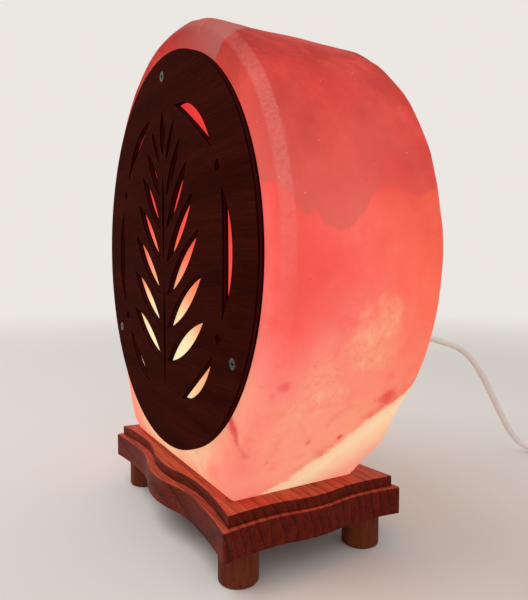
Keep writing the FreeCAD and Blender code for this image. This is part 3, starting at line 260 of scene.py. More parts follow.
saltLook = {
    "glow": {
        "bulb": (0.0, 0.0, bulbHeight),     # it is measured from here, in mm
        "reach": 200.0,                     # the distance that is 1 in the colours' places
        "drift": (40.0, 9.0),               # how far the clouds and the fine noise shift it
        "colours": [
            (0.16, "#fff8dc"), (0.27, "#ffe9b4"), (0.37, "#ffc99c"), (0.47, "#ff9f83"),
            (0.555, "#ff8b7c"), (0.61, "#ff7b70"), (0.67, "#ff665d"), (0.74, "#ee524a"),
            (0.81, "#cb3d34"), (0.87, "#ac2d26"), (0.95, "#8c2420"),
        ],
        "strength": 0.76,
        "bodyShareOfGlow": 0.3,                  # how much of the painted glow colour the salt's own body colour takes, so that too is painted paler near the bulb
    },
    "cloudy": [                             # middle and radius of each pale patch
        ((118, 2, 117), 19), ((112, -17, 104), 14), ((106, -11, 93), 12), ((121, 10, 130), 10),
        ((103, -24, 88), 9),
    ],
    "swingFrom": (100.0, 20.0),             # x where the beds start to swing, and swing in full
    "greyBed": {
        "border": [                         # mm above its datum, from the front to the back
            (0.0, 38), (0.08, 26), (0.13, 21), (0.17, 25), (0.21, 19), (0.29, 16), (0.38, 19),
            (0.46, 26), (0.52, 34), (0.62, 38), (0.70, 36), (0.80, 33), (0.92, 38), (1.0, 42),
        ],
        "datum": 150.0,
        "depth": 92.0,                      # from the front of the border to its back
        "stepsPerMm": 5,                    # a colour ramp holds the border as greys of 255 steps
        "swing": 120.0,
        "ragged": 7.0,
        "veil": 0.56,
        "veilHeight": 75.0,                 # the grey is gone this far above the border
        "thins": (6.0, 42.0, 0.35),         # y where it starts and ends to thin, and what is left
        "warms": (-14.0, 44.0, 0.75),       # y where the orange below starts and ends to grow, its share
    },
    "crownWedge": {
        "rising": ((-0.58, 0.0, 0.815), 167.0),     # it lies past this plane
        "rearward": ((0.75, 0.66, 0.0), 27.0),      # and short of this one
        "ragged": 4.0,
        "fades": (8.0, 62.0),               # x where it is gone, and where it is whole
    },
    "whiteBed": {
        "rise": 0.83,                       # of its upper face towards the back, in mm per mm
        "height": 58.5,                     # of that face, halfway between the front and the back
        "swing": 70.0,
        "ragged": 13.0,
        "raggedRest": 7.0,                  # about what the ragged noise takes off on average
        "depth": 34.0,
        "colours": [(0.0, "#ffcaa2"), (0.3, "#ffdeb4"), (0.6, "#ffcaa4"), (1.0, "#ffa78e")],
    },
    "blushes": [                            # middle, radius and strength of each
        ((110.8, -37, 102), 3.8, 0.5), ((108.6, -41.5, 97), 3.2, 0.45), ((103, 27, 89), 8, 0.75),
        ((80, -44, 62), 15, 0.18), ((79, -45, 78), 9, 0.4), ((122, -24, 139), 17, 0.22),
        ((119, 15, 194), 16, 0.35), ((99, -2, 233), 20, 0.3), ((124, -28, 155), 16, 0.25),
        ((-104, -4, 96), 16, 0.5), ((-60, 20, 262), 20, 0.35), ((-112, 24, 180), 18, 0.35),
        ((40, 44, 236), 20, 0.35),
    ],
    "crimson": [
        ((77, -45, 82), 2.6, 0.6), ((79, -45, 79), 3.4, 0.6), ((82, -45, 76), 3, 0.6),
        ((83, -45, 73), 2.6, 0.6), ((84, -43, 70), 2.4, 0.55), ((85, -41, 67), 2.6, 0.7),
        ((90, 8, 68.5), 1.5, 0.8), ((90.5, -10.5, 68.5), 1.6, 0.5), ((86, -31, 61), 1.2, 0.4),
    ],
    # painted light: the glow on the salt's front face behind the fretwork
    "glowBehindPanel": {
        "brightest": (0.0, 0.0, 98.0),
        "squeeze": (0.8, 0.0, 1.0),         # it reaches further sideways than up
        "reach": 125.0,
        "drift": 18.0,
        "lean": 0.15,                       # it fades sooner to the right
        "gain": 1.1,
        "strength": 0.9,
        "edge": (panelHigh.x + 0.4, panelHigh.x - 1.6),     # from the disc's axis
        "face": (saltLow.y + 1.4, saltLow.y + 0.4),
        "colours": [
            (0.0, "#fffad2"), (0.14, "#fff0c0"), (0.28, "#ffdda8"), (0.38, "#ffa077"),
            (0.5, "#ff7659"), (0.62, "#ff4a43"), (0.75, "#fa403b"), (0.9, "#ea3535"),
        ],
    },
    "bevel": {                              # each from where the rasp marks start to where they are full
        "outwards": (saltHigh.x - 5.7, saltHigh.x - 4.1),   # from the disc's axis
        "forwards": (saltLow.y + 6.4, saltLow.y + 5.0),
        "upwards": (115.0, 190.0),
        "downwards": (262.0, 232.0),
        "atTop": 0.25,                      # what is left of them above that
    },
}


def saltGrounds(add):
    # what the layers of the salt's colour share: the place, its noises and its distance from the axis
    place = placeInMm(add)
    x, y, z = add("SeparateXYZ", {0: place}).node.outputs
    cloud = add("TexNoise", {"Vector": place, "Scale": 1 / 38, "Detail": 4.0, "Roughness": 0.55})
    fine = add("TexNoise", {"Vector": place, "Scale": 1 / 9, "Detail": 5.0, "Roughness": 0.62})
    mottle = add("TexNoise", {"Vector": place, "Scale": 1 / 17, "Detail": 4.0, "Roughness": 0.6,
                              "Distortion": 0.6})
    # the beds swing up and down away from the right side
    start, full = saltLook["swingFrom"]
    away = add("MapRange", {"Value": x, "From Min": start, "From Max": full, "To Max": 1.0})
    swing = add("TexNoise", {"Vector": place, "Scale": 1 / 80, "Detail": 3.0, "Roughness": 0.6})
    swing = add("Math", {0: swing, 1: 0.5}, operation="SUBTRACT")
    swing = add("Math", {0: swing, 1: away}, operation="MULTIPLY")
    flat = add("VectorMath", {0: place, 1: (1.0, 0.0, 1.0)}, operation="MULTIPLY")
    fromAxis = add("VectorMath", {0: flat, 1: (0.0, 0.0, discHeight)}, "Value", operation="DISTANCE")
    return SimpleNamespace(place=place, x=x, y=y, z=z, cloud=cloud, fine=fine, mottle=mottle,
                           swing=swing, fromAxis=fromAxis)


def spotShare(add, rock, noise, middle, ragged, edges, strength):
    # a soft spot, ragged by the noise: nothing past the first edge, full inside the second
    gap = add("VectorMath", {0: rock.place, 1: middle}, "Value", operation="DISTANCE")
    gap = add("Math", {0: noise, 1: ragged, 2: gap}, operation="MULTIPLY_ADD")
    return add("MapRange", {"Value": gap, "From Min": edges[0], "From Max": edges[1],
                            "To Max": strength}, interpolation_type="SMOOTHSTEP")


def bulbGlow(add, rock):
    # painted light: the nearer to the bulb, the paler and brighter the glow, standing in for the bulb's
    # light shining through the salt
    look = saltLook["glow"]
    broad, small = look["drift"]
    reach = add("VectorMath", {0: rock.place, 1: look["bulb"]}, "Value", operation="DISTANCE")
    reach = add("Math", {0: rock.cloud, 1: broad, 2: reach}, operation="MULTIPLY_ADD")
    reach = add("Math", {0: rock.fine, 1: small, 2: reach}, operation="MULTIPLY_ADD")
    reach = add("Math", {0: reach, 1: (broad + small) / 2}, operation="SUBTRACT")
    reach = add("Math", {0: reach, 1: look["reach"]}, operation="DIVIDE")
    colour = add("ValToRGB", {"Fac": reach}, stops=look["colours"])
    blush = add("MapRange", {"Value": rock.mottle, "From Min": 0.5, "From Max": 0.72, "To Max": 0.3},
                interpolation_type="SMOOTHSTEP")
    return add("Mix", {"Factor": blush, 6: colour, 7: srgb("#fa5650")}, 2, data_type="RGBA")


def cloudyPatches(add, rock, colour):
    # pale curdled patches, crossed by a net of healed cracks that is faint elsewhere
    pale = 0.0
    for middle, radius in saltLook["cloudy"]:
        patch = spotShare(add, rock, rock.mottle, middle, 1.6 * radius, (2.1 * radius, 0.9 * radius), 0.75)
        pale = add("Math", {0: patch, 1: pale}, operation="MAXIMUM")
    colour = add("Mix", {"Factor": pale, 6: colour, 7: srgb("#ff9f82")}, 2, data_type="RGBA")
    curds = add("MapRange", {"Value": rock.fine, "From Min": 0.5, "From Max": 0.66, "To Max": 0.8},
                interpolation_type="SMOOTHSTEP")
    curds = add("Math", {0: curds, 1: pale}, operation="MULTIPLY")
    colour = add("Mix", {"Factor": curds, 6: colour, 7: srgb("#ffb894")}, 2, data_type="RGBA")
    warp = add("TexNoise", {"Vector": rock.place, "Scale": 1 / 6}, 1)
    warp = add("VectorMath", {0: warp, "Scale": 13.0}, operation="SCALE")
    warped = add("VectorMath", {0: rock.place, 1: warp}, operation="ADD")
    net = add("TexVoronoi", {"Vector": warped, "Scale": 1 / 9}, feature="DISTANCE_TO_EDGE")
    crack = add("MapRange", {"Value": net, "From Min": 0.06, "From Max": 0.0, "To Max": 0.34},
                interpolation_type="SMOOTHSTEP")
    seen = add("Math", {0: pale, 1: 0.12}, operation="ADD")
    crack = add("Math", {0: crack, 1: seen}, operation="MULTIPLY")
    return add("Mix", {"Factor": crack, 6: colour, 7: srgb("#d95c4a")}, 2, data_type="RGBA")


def greyBedLayer(add, rock):
    # 1 above the grey bed's border, which runs in scallops from front to back, and the height over it
    look = saltLook["greyBed"]
    steps = look["stepsPerMm"]
    along = add("Math", {0: rock.y, 1: 1 / look["depth"], 2: 0.5}, operation="MULTIPLY_ADD")
    greys = [(spot, "#" + f"{round(height * steps):02x}" * 3) for spot, height in look["border"]]
    border = add("ValToRGB", {"Fac": along}, stops=greys)
    # the ramp made its greys linear, and the gamma turns them back
    border = add("Gamma", {"Color": border, "Gamma": 1 / 2.2})
    border = add("Math", {0: border, 1: 255 / steps, 2: look["datum"]}, operation="MULTIPLY_ADD")
    border = add("Math", {0: rock.swing, 1: look["swing"], 2: border}, operation="MULTIPLY_ADD")
    height = add("Math", {0: rock.fine, 1: look["ragged"], 2: rock.z}, operation="MULTIPLY_ADD")
    height = add("Math", {0: height, 1: look["ragged"] / 2}, operation="SUBTRACT")
    above = add("Math", {0: height, 1: border}, operation="SUBTRACT")
    layer = add("MapRange", {"Value": above, "From Min": -1.0, "From Max": 1.4},
                interpolation_type="SMOOTHSTEP")
    return layer, above


def greyBed(add, rock, colour, layer, above):
    # a greyer bed across the top, and below it the salt is more orange towards the back
    look = saltLook["greyBed"]
    veil = add("MapRange", {"Value": above, "From Min": look["veilHeight"], "From Max": 0.0,
                            "To Max": look["veil"]})
    veil = add("Math", {0: layer, 1: veil}, operation="MULTIPLY")
    start, end, left = look["thins"]
    rear = add("MapRange", {"Value": rock.y, "From Min": start, "From Max": end, "To Min": 1.0,
                            "To Max": left})
    veil = add("Math", {0: veil, 1: rear}, operation="MULTIPLY")
    colour = add("Mix", {"Factor": veil, 6: colour, 7: srgb("#cf6459")}, 2, data_type="RGBA")
    start, end, most = look["warms"]
    warm = add("MapRange", {"Value": rock.y, "From Min": start, "From Max": end, "To Max": most})
    below = add("Math", {0: 1.0, 1: layer}, operation="SUBTRACT")
    warm = add("Math", {0: warm, 1: below}, operation="MULTIPLY")
    warmer = add("Mix", {"Factor": 1.0, 6: colour, 7: srgb("#ffffd4")}, 2, data_type="RGBA",
                 blend_type="MULTIPLY")
    warmer = add("Mix", {"Factor": 0.3, 6: warmer, 7: srgb("#ff9068")}, 2, data_type="RGBA")
    return add("Mix", {"Factor": warm, 6: colour, 7: warmer}, 2, data_type="RGBA")


def crownWedge(add, rock, colour):
    # a greyer wedge cuts through the crown and fades away to the left
    look = saltLook["crownWedge"]
    normal, offset = look["rising"]
    over = add("VectorMath", {0: rock.place, 1: normal}, "Value", operation="DOT_PRODUCT")
    over = add("Math", {0: over, 1: offset}, operation="SUBTRACT")
    normal, offset = look["rearward"]
    ahead = add("VectorMath", {0: rock.place, 1: normal}, "Value", operation="DOT_PRODUCT")
    ahead = add("Math", {0: offset, 1: ahead}, operation="SUBTRACT")
    inside = add("Math", {0: over, 1: ahead}, operation="MINIMUM")
    inside = add("Math", {0: rock.fine, 1: look["ragged"], 2: inside}, operation="MULTIPLY_ADD")
    wedge = add("MapRange", {"Value": inside, "From Min": 0.0, "From Max": 1.4, "To Max": 0.7})
    gone, whole = look["fades"]
    fade = add("MapRange", {"Value": rock.x, "From Min": gone, "From Max": whole})
    wedge = add("Math", {0: wedge, 1: fade}, operation="MULTIPLY")
    return add("Mix", {"Factor": wedge, 6: colour, 7: srgb("#ad6660")}, 2, data_type="RGBA")


def whiteBed(add, rock, colour):
    # a white bed climbs through the foot from the front to the back, with a red fringe over it
    look = saltLook["whiteBed"]
    top = add("Math", {0: rock.y, 1: look["rise"], 2: look["height"]}, operation="MULTIPLY_ADD")
    top = add("Math", {0: rock.swing, 1: look["swing"], 2: top}, operation="MULTIPLY_ADD")
    under = add("Math", {0: top, 1: rock.z}, operation="SUBTRACT")
    under = add("Math", {0: rock.fine, 1: -look["ragged"], 2: under}, operation="MULTIPLY_ADD")
    under = add("Math", {0: under, 1: look["raggedRest"]}, operation="ADD")
    bed = add("MapRange", {"Value": under, "From Min": -1.0, "From Max": 3.0, "To Max": 0.92},
              interpolation_type="SMOOTHSTEP")
    depth = add("MapRange", {"Value": under, "From Max": look["depth"]})
    white = add("ValToRGB", {"Fac": depth}, stops=look["colours"])
    colour = add("Mix", {"Factor": bed, 6: colour, 7: white}, 2, data_type="RGBA")
    fringe = add("MapRange", {"Value": under, "From Min": -9.0, "From Max": -0.5},
                 interpolation_type="SMOOTHSTEP")
    outside = add("MapRange", {"Value": under, "From Min": 1.5, "From Max": -0.3})
    spotty = add("MapRange", {"Value": rock.mottle, "From Min": 0.42, "From Max": 0.66, "To Max": 0.6})
    fringe = add("Math", {0: fringe, 1: outside}, operation="MULTIPLY")
    fringe = add("Math", {0: fringe, 1: spotty}, operation="MULTIPLY")
    return add("Mix", {"Factor": fringe, 6: colour, 7: srgb("#ea4a44")}, 2, data_type="RGBA")


def ironStains(add, rock, colour):
    # soft blushes, and crimson streaks with sharper edges
    for middle, radius, strength in saltLook["blushes"]:
        edges = 1.8 * radius, 0.8 * radius
        stain = spotShare(add, rock, rock.fine, middle, 1.4 * radius, edges, strength)
        colour = add("Mix", {"Factor": stain, 6: colour, 7: srgb("#e8403f")}, 2, data_type="RGBA")
    for middle, radius, strength in saltLook["crimson"]:
        edges = radius + 3.4, 0.3 * radius + 1.8
        stain = spotShare(add, rock, rock.fine, middle, 4.4, edges, strength)
        colour = add("Mix", {"Factor": stain, 6: colour, 7: srgb("#dd3344")}, 2, data_type="RGBA")
    return colour


def gritAndChips(add, rock, colour, layer):
    # dark grit below the grey bed and pale chips in it, each a millimetre across at most
    grit = add("TexVoronoi", {"Vector": rock.place, "Scale": 1 / 8.5})
    grit = add("MapRange", {"Value": grit, "From Min": 0.05, "From Max": 0.02, "To Max": 0.6},
               interpolation_type="SMOOTHSTEP")
    below = add("Math", {0: layer, 1: 1.0}, operation="LESS_THAN")
    grit = add("Math", {0: grit, 1: below}, operation="MULTIPLY")
    colour = add("Mix", {"Factor": grit, 6: colour, 7: srgb("#9a342c")}, 2, data_type="RGBA")
    chips = add("TexVoronoi", {"Vector": rock.place, "Scale": 1 / 8.0, "Randomness": 0.9})
    chips = add("MapRange", {"Value": chips, "From Min": 0.055, "From Max": 0.03, "To Max": 0.34},
                interpolation_type="SMOOTHSTEP")
    chips = add("Math", {0: chips, 1: layer}, operation="MULTIPLY")
    return add("Mix", {"Factor": chips, 6: colour, 7: srgb("#ffc9ba")}, 2, data_type="RGBA")


def glowBehindPanel(add, rock, colour):
    # painted light: the front face, seen through the fretwork, is painted glowing from cream beside the
    # bulb to red above it
    look = saltLook["glowBehindPanel"]
    reach = add("VectorMath", {0: rock.place, 1: look["squeeze"]}, operation="MULTIPLY")
    reach = add("VectorMath", {0: reach, 1: look["brightest"]}, "Value", operation="DISTANCE")
    reach = add("Math", {0: rock.cloud, 1: look["drift"], 2: reach}, operation="MULTIPLY_ADD")
    reach = add("Math", {0: rock.x, 1: look["lean"], 2: reach}, operation="MULTIPLY_ADD")
    reach = add("Math", {0: reach, 1: look["drift"] / 2}, operation="SUBTRACT")
    reach = add("Math", {0: reach, 1: look["reach"]}, operation="DIVIDE")
    lit = add("ValToRGB", {"Fac": reach}, stops=look["colours"])
    lit = add("VectorMath", {0: lit, "Scale": look["gain"]}, operation="SCALE")
    start, full = look["edge"]
    hidden = add("MapRange", {"Value": rock.fromAxis, "From Min": start, "From Max": full})
    start, full = look["face"]
    face = add("MapRange", {"Value": rock.y, "From Min": start, "From Max": full})
    hidden = add("Math", {0: hidden, 1: face}, operation="MULTIPLY")
    hidden = add("Math", {0: hidden, 1: look["strength"]}, operation="MULTIPLY")
    return add("Mix", {"Factor": hidden, 6: colour, 7: lit}, 2, data_type="RGBA")


def raspMarks(add, rock):
    # the bevel round the front is left as the rasp cut it: where that is, and its scratches
    look = saltLook["bevel"]
    start, full = look["outwards"]
    rasp = add("MapRange", {"Value": rock.fromAxis, "From Min": start, "From Max": full},
               interpolation_type="SMOOTHSTEP")
    start, full = look["forwards"]
    forward = add("MapRange", {"Value": rock.y, "From Min": start, "From Max": full},
                  interpolation_type="SMOOTHSTEP")
    start, full = look["upwards"]
    high = add("MapRange", {"Value": rock.z, "From Min": start, "From Max": full})
    start, full = look["downwards"]
    low = add("MapRange", {"Value": rock.z, "From Min": start, "From Max": full, "To Min": look["atTop"]})
    for share in (forward, high, low):
        rasp = add("Math", {0: rasp, 1: share}, operation="MULTIPLY")
    drawn = add("VectorMath", {0: rock.place, 1: (1.0, 0.4, 1.0)}, operation="MULTIPLY")
    scratches = add("TexNoise", {"Vector": drawn, "Scale": 1 / 1.7, "Detail": 4.0, "Roughness": 0.7})
    return rasp, scratches


def saltMaterial():
    # rock salt, sawn, rasped and wiped smooth: waxy and cloudy; its light from the bulb inside is painted,
    # as a glow in its emission and a share of that in its colour
    material, tree, shader, add = newMaterial("litRockSalt")
    rock = saltGrounds(add)
    layer, above = greyBedLayer(add, rock)
    colour = bulbGlow(add, rock)
    colour = cloudyPatches(add, rock, colour)
    colour = greyBed(add, rock, colour, layer, above)
    colour = crownWedge(add, rock, colour)
    colour = whiteBed(add, rock, colour)
    colour = ironStains(add, rock, colour)
    colour = gritAndChips(add, rock, colour, layer)
    colour = glowBehindPanel(add, rock, colour)
    rasp, scratches = raspMarks(add, rock)
    frost = add("MapRange", {"Value": scratches, "From Min": 0.3, "From Max": 0.75, "To Min": 0.06,
                             "To Max": 0.34})
    frost = add("Math", {0: rasp, 1: frost}, operation="MULTIPLY")
    colour = add("Mix", {"Factor": frost, 6: colour, 7: srgb("#e8a096")}, 2, data_type="RGBA")
    # painted light: the body colour is a share of the painted glow, and the glow itself is its emission
    body = add("VectorMath", {0: colour, "Scale": saltLook["glow"]["bodyShareOfGlow"]}, operation="SCALE")
    grain = add("Math", {0: scratches, 1: rasp, 2: rock.fine}, operation="MULTIPLY_ADD")
    normal = add("Bump", {"Height": grain, "Distance": 0.0006, "Strength": 0.5})
    setInputs(tree, shader, {"Base Color": body, "Emission Color": colour,
                             "Emission Strength": saltLook["glow"]["strength"], "Roughness": 0.5,
                             "IOR": 1.54, "Specular IOR Level": 0.02, "Normal": normal})
    return material


boardLook = {
    "ring": [                       # the colours across one growth ring
        (0.0, "#401007"), (0.07, "#591a0e"), (0.45, "#651f11"), (0.85, "#6c2213"),
        (0.96, "#52160c"), (1.0, "#290904"),
    ],
    "ringScale": 0.06,              # makes a ring about 5 mm wide
    "ringDrift": 15.0,              # how far the rings wander, in mm
    "ringUpright": 12.0,            # height at which the rings stand upright, in mm
    "ringCurve": 0.011,             # how much they bend away above and below it
    "line": "#300d06",
    "patch": "#832f19",
    # painted light: how much brighter the upward faces are painted, for the salt's glow on them
    "paintedGlowGain": (3.6, 5.0, 6.2),
    # the tint that darkens the end grain, for its oil and for painted shade both
    "endOilAndShade": "#eac5b5",
}


def boardMaterial():
    # sheesham, sanded and oiled: red-brown, with fine dark growth lines along the board
    material, tree, shader, add = newMaterial("oiledSheesham")
    look = boardLook
    place = placeInMm(add)
    axes = add("SeparateXYZ", {0: place}).node.outputs
    along = add("VectorMath", {0: place, 1: (0.07, 1.0, 1.0)}, operation="MULTIPLY")
    drift = add("TexNoise", {"Vector": along, "Scale": 1 / 30, "Detail": 2.0})
    rings = add("Math", {0: drift, 1: look["ringDrift"], 2: axes["Y"]}, operation="MULTIPLY_ADD")
    height = add("Math", {0: axes["Z"], 1: look["ringUpright"]}, operation="SUBTRACT")
    height = add("Math", {0: height, 1: 2.0}, operation="POWER")
    rings = add("Math", {0: height, 1: look["ringCurve"], 2: rings}, operation="MULTIPLY_ADD")
    rings = add("CombineXYZ", {"X": rings})
    rings = add("TexWave", {"Vector": rings, "Scale": look["ringScale"], "Distortion": 2.2, "Detail": 2.0,
                            "Detail Scale": 1.4}, "Fac", wave_profile="SAW")
    colour = add("ValToRGB", {"Fac": rings}, stops=look["ring"])
    lines = add("TexNoise", {"Vector": along, "Scale": 1 / 1.1, "Detail": 3.0, "Roughness": 0.6})
    dark = add("MapRange", {"Value": lines, "From Min": 0.5, "From Max": 0.66, "To Max": 0.75},
               interpolation_type="SMOOTHSTEP")
    colour = add("Mix", {"Factor": dark, 6: colour, 7: srgb(look["line"])}, 2, data_type="RGBA")
    patch = add("TexNoise", {"Vector": along, "Scale": 1 / 6, "Detail": 3.0})
    patch = add("MapRange", {"Value": patch, "From Min": 0.4, "From Max": 0.7, "To Max": 0.4})
    colour = add("Mix", {"Factor": patch, 6: colour, 7: srgb(look["patch"])}, 2, data_type="RGBA")
    # painted light: the upward faces, the top and the step, are painted several times brighter than the
    # sides, standing in for the salt's glow falling on them
    facing = add("SeparateXYZ", {0: add("NewGeometry", {}, "Normal")}).node.outputs
    paintedTopGlow = add("MapRange", {"Value": facing["Z"], "From Min": 0.4, "From Max": 0.8})
    bright = add("VectorMath", {0: colour, 1: look["paintedGlowGain"]}, operation="MULTIPLY")
    colour = add("Mix", {"Factor": paintedTopGlow, 6: colour, 7: bright}, 2, data_type="RGBA")
    # end grain drinks more oil and turns darker, and this darkening also paints in the shade that the end
    # faces stand in
    endGrainAndShade = add("Math", {0: facing["X"]}, operation="ABSOLUTE")
    endGrainAndShade = add("MapRange", {"Value": endGrainAndShade, "From Min": 0.5, "From Max": 0.9, "To Max": 0.8},
               interpolation_type="SMOOTHSTEP")
    oiledAndShaded = add("Mix", {"Factor": 1.0, 6: colour, 7: srgb(look["endOilAndShade"])}, 2, data_type="RGBA",
                blend_type="MULTIPLY")
    colour = add("Mix", {"Factor": endGrainAndShade, 6: colour, 7: oiledAndShaded}, 2, data_type="RGBA")
    normal = add("Bump", {"Height": lines, "Distance": 0.0001, "Strength": 0.5})
    setInputs(tree, shader, {"Base Color": colour, "Roughness": 0.55, "IOR": 1.5,
                             "Specular IOR Level": 0.08, "Normal": normal})
    return material


def dowelMaterial():
    # bare hardwood dowel: matt, its grain upright
    material, tree, shader, add = newMaterial("bareDowel")
    place = placeInMm(add)
    upright = add("VectorMath", {0: place, 1: (1.0, 1.0, 0.08)}, operation="MULTIPLY")
    fibre = add("TexNoise", {"Vector": upright, "Scale": 1 / 1.8, "Detail": 4.0, "Roughness": 0.65})
    broad = add("TexNoise", {"Vector": upright, "Scale": 1 / 9, "Detail": 3.0})
    tone = add("Mix", {"Factor": 0.4, "A": fibre, "B": broad})
    colour = add("ValToRGB", {"Fac": tone}, stops=[(0.3, "#46190c"), (0.48, "#682d1a"), (0.7, "#7f4025")])
    pores = add("VectorMath", {0: place, 1: (1.0, 1.0, 0.35)}, operation="MULTIPLY")
    fleck = add("TexVoronoi", {"Vector": pores, "Scale": 0.35})
    fleck = add("MapRange", {"Value": fleck, "From Min": 0.16, "From Max": 0.08, "To Max": 0.6})
    colour = add("Mix", {"Factor": fleck, 6: colour, 7: srgb("#35190e")}, 2, data_type="RGBA")
    normal = add("Bump", {"Height": fibre, "Distance": 0.0002, "Strength": 0.5})
    setInputs(tree, shader, {"Base Color": colour, "Roughness": 0.6, "IOR": 1.5,
                             "Specular IOR Level": 0.08, "Normal": normal})
    return material


def panelMaterial():
    # laser-cut plywood: a dark stain on the face, charred walls with the plies showing
    material, tree, shader, add = newMaterial("stainedPlywood")
    place = placeInMm(add)
    along = add("VectorMath", {0: place, 1: (0.05, 1.0, 1.0)}, operation="MULTIPLY")
    grain = add("TexNoise", {"Vector": along, "Scale": 1 / 0.9, "Detail": 5.0, "Roughness": 0.7})
    broad = add("TexNoise", {"Vector": along, "Scale": 1 / 12, "Detail": 4.0, "Roughness": 0.6})
    tone = add("Mix", {"Factor": 0.45, "A": grain, "B": broad})
    face = add("ValToRGB", {"Fac": tone}, stops=[(0.3, "#1f0503"), (0.5, "#350b05"), (0.72, "#48140a")])
    thickness = panelHigh.y - panelLow.y
    depth = add("SeparateXYZ", {0: place}, "Y")
    depth = add("Math", {0: depth, 1: 1 / thickness, 2: -panelLow.y / thickness},
                operation="MULTIPLY_ADD")
    char = add("ValToRGB", {"Fac": depth}, stops=[
        (0.0, "#210706"), (0.3, "#1a0505"), (0.36, "#45120d"), (0.5, "#340d09"), (0.62, "#45120d"),
        (0.68, "#1a0505"), (1.0, "#140404")])
    facing = add("SeparateXYZ", {0: add("NewGeometry", {}, "Normal")}, "Y")
    facing = add("Math", {0: facing}, operation="ABSOLUTE")
    wall = add("MapRange", {"Value": facing, "From Min": 0.75, "From Max": 0.55})
    colour = add("Mix", {"Factor": wall, 6: face, 7: char}, 2, data_type="RGBA")
    normal = add("Bump", {"Height": grain, "Distance": 0.00012, "Strength": 0.5})
    setInputs(tree, shader, {"Base Color": colour, "Roughness": 0.75, "IOR": 1.5,
                             "Specular IOR Level": 0.01, "Normal": normal})
    return material


def plainMaterial(name, colour, roughness, metallic=0.0, grainSize=0.0, grainDepth=0.0):
    # one colour and gloss; a grain size in mm gives it the moulding tool's texture
    material, tree, shader, add = newMaterial(name)
    setInputs(tree, shader, {"Base Color": srgb(colour), "Roughness": roughness, "Metallic": metallic})
    if grainSize:
        grain = add("TexNoise", {"Vector": placeInMm(add), "Scale": 1 / grainSize, "Detail": 3.0})
        normal = add("Bump", {"Height": grain, "Distance": grainDepth, "Strength": 0.6})
        setInputs(tree, shader, {"Normal": normal})
    return material


def glassMaterial():
    # clear soda glass, thin: its edge shows and the filament reads through it
    material, tree, shader, _ = newMaterial("clearBulbGlass")
    setInputs(tree, shader, {"Base Color": srgb("#fdf3e2"), "Roughness": 0.03, "IOR": 1.52,
                             "Transmission Weight": 1.0})
    return material


def filamentMaterial():
    # tungsten wire at white heat: it gives its own light
    material, tree, shader, _ = newMaterial("glowingTungsten")
    setInputs(tree, shader, {"Base Color": srgb("#ffcf8a"), "Roughness": 0.4,
                             "Emission Color": srgb("#ffc36b"), "Emission Strength": 12.0})
    return material


finishes = {
    "salt": saltMaterial(),
    "board": boardMaterial(),
    "dowel": dowelMaterial(),
    "panel": panelMaterial(),
    "screw": plainMaterial("zincPlatedSteel", "#46403b", 0.28, 1.0),
    "pins": plainMaterial("nickelPlatedBrass", "#d4cdbd", 0.22, 1.0),
    "liveBrass": plainMaterial("bareBrass", "#c9a45a", 0.3, 1.0),
    "spring": plainMaterial("bluedSpringSteel", "#8d8f94", 0.3, 1.0),
    "nylon": plainMaterial("greyNylon", "#8c9094", 0.5),
    "phenolic": plainMaterial("whitePhenolic", "#e9e6de", 0.35),
    "abs": plainMaterial("mouldedAbs", "#efedea", 0.32, grainSize=0.5, grainDepth=0.00003),
    "rocker": plainMaterial("polishedAbs", "#e6e3df", 0.2),
    "sheath": plainMaterial("softPvc", "#f0e6e0", 0.38),
    "bush": plainMaterial("mattPvc", "#ece9e6", 0.5),
    "tie": plainMaterial("clearPolyamide", "#e4e4e1", 0.35),
    "core": plainMaterial("bluePvc", "#2f5fa8", 0.4),
    "blackGlass": plainMaterial("blackGlass", "#101012", 0.15),
    "capMetal": plainMaterial("drawnAluminium", "#cfccc6", 0.3, 1.0),
    "glass": glassMaterial(),
    "filament": filamentMaterial(),
}

finishOf = {
    "base_board": "board",
    "foot_front_left": "dowel", "foot_front_right": "dowel",
    "foot_rear_left": "dowel", "foot_rear_right": "dowel",
    "fretwork_panel": "panel",
    "panel_screws": "screw", "crystal_screws": "screw", "terminal_screws": "screw",
    "switch_screws": "screw",
    "panel_plugs": "nylon", "crystal_plugs": "nylon",
    "lampholder_shell": "phenolic", "lampholder_cap": "phenolic", "lampholder_insert": "phenolic",
    "screw_shell": "liveBrass", "centre_contact": "liveBrass", "switch_contacts": "liveBrass",
    "bulb_tip": "liveBrass",
    "core_wires": "core", "spring_clip": "spring",
    "bulb_glass": "glass", "bulb_stem": "glass", "bulb_cap": "capMetal",
    "bulb_insulator": "blackGlass", "bulb_filament": "filament",
    "cord_bush": "bush", "switch_bushes": "bush", "plug_bush": "bush",
    "switch_base": "abs", "switch_cover": "abs", "plug_body": "abs", "switch_rocker": "rocker",
    "coil_tie": "tie", "plug_pins": "pins",
}
for nodeName, finish in finishOf.items():
    dress(nodeName, finishes[finish])
mainsCord.data.materials.append(finishes["sheath"])
print("finishes given:", len(finishOf))


# salt block: the CAD form, worn and roughened as rasped salt is

saltSettings = {
    "voxel": 0.0016,            # in metres
    "lumps": (0.055, 0.0022),   # size and depth in metres
    "dents": (0.016, 0.0006),
    "boreRadius": 23.0,         # in mm, as all below
    "boreFront": -34.0,         # y just in front of the bore's end
    "besideFace": (1.7, 1.0),   # how far off the skin starts to get free, and over what distance
    "besidePanel": (1.4, 6.0),
    "besideBoard": (0.6, 6.0),
    "besideBore": (0.5, 6.0),
}


def freeShare(place):
    # 0 where the block meets its panel, board and holder, 1 where its skin is free to be worn
    sizes = saltSettings
    x, y, z = (1000 * part for part in place)
    face = rampUp(y - saltLow.y, *sizes["besideFace"])
    panel = rampUp(math.hypot(x, z - discHeight) - panelHigh.x, *sizes["besidePanel"])
    board = rampUp(z - saltLow.z, *sizes["besideBoard"])
    bore = rampUp(math.hypot(x, z - bulbHeight) - sizes["boreRadius"], *sizes["besideBore"])
    if y <= sizes["boreFront"]:
        bore = 1
    return min(max(face, panel), board, bore)


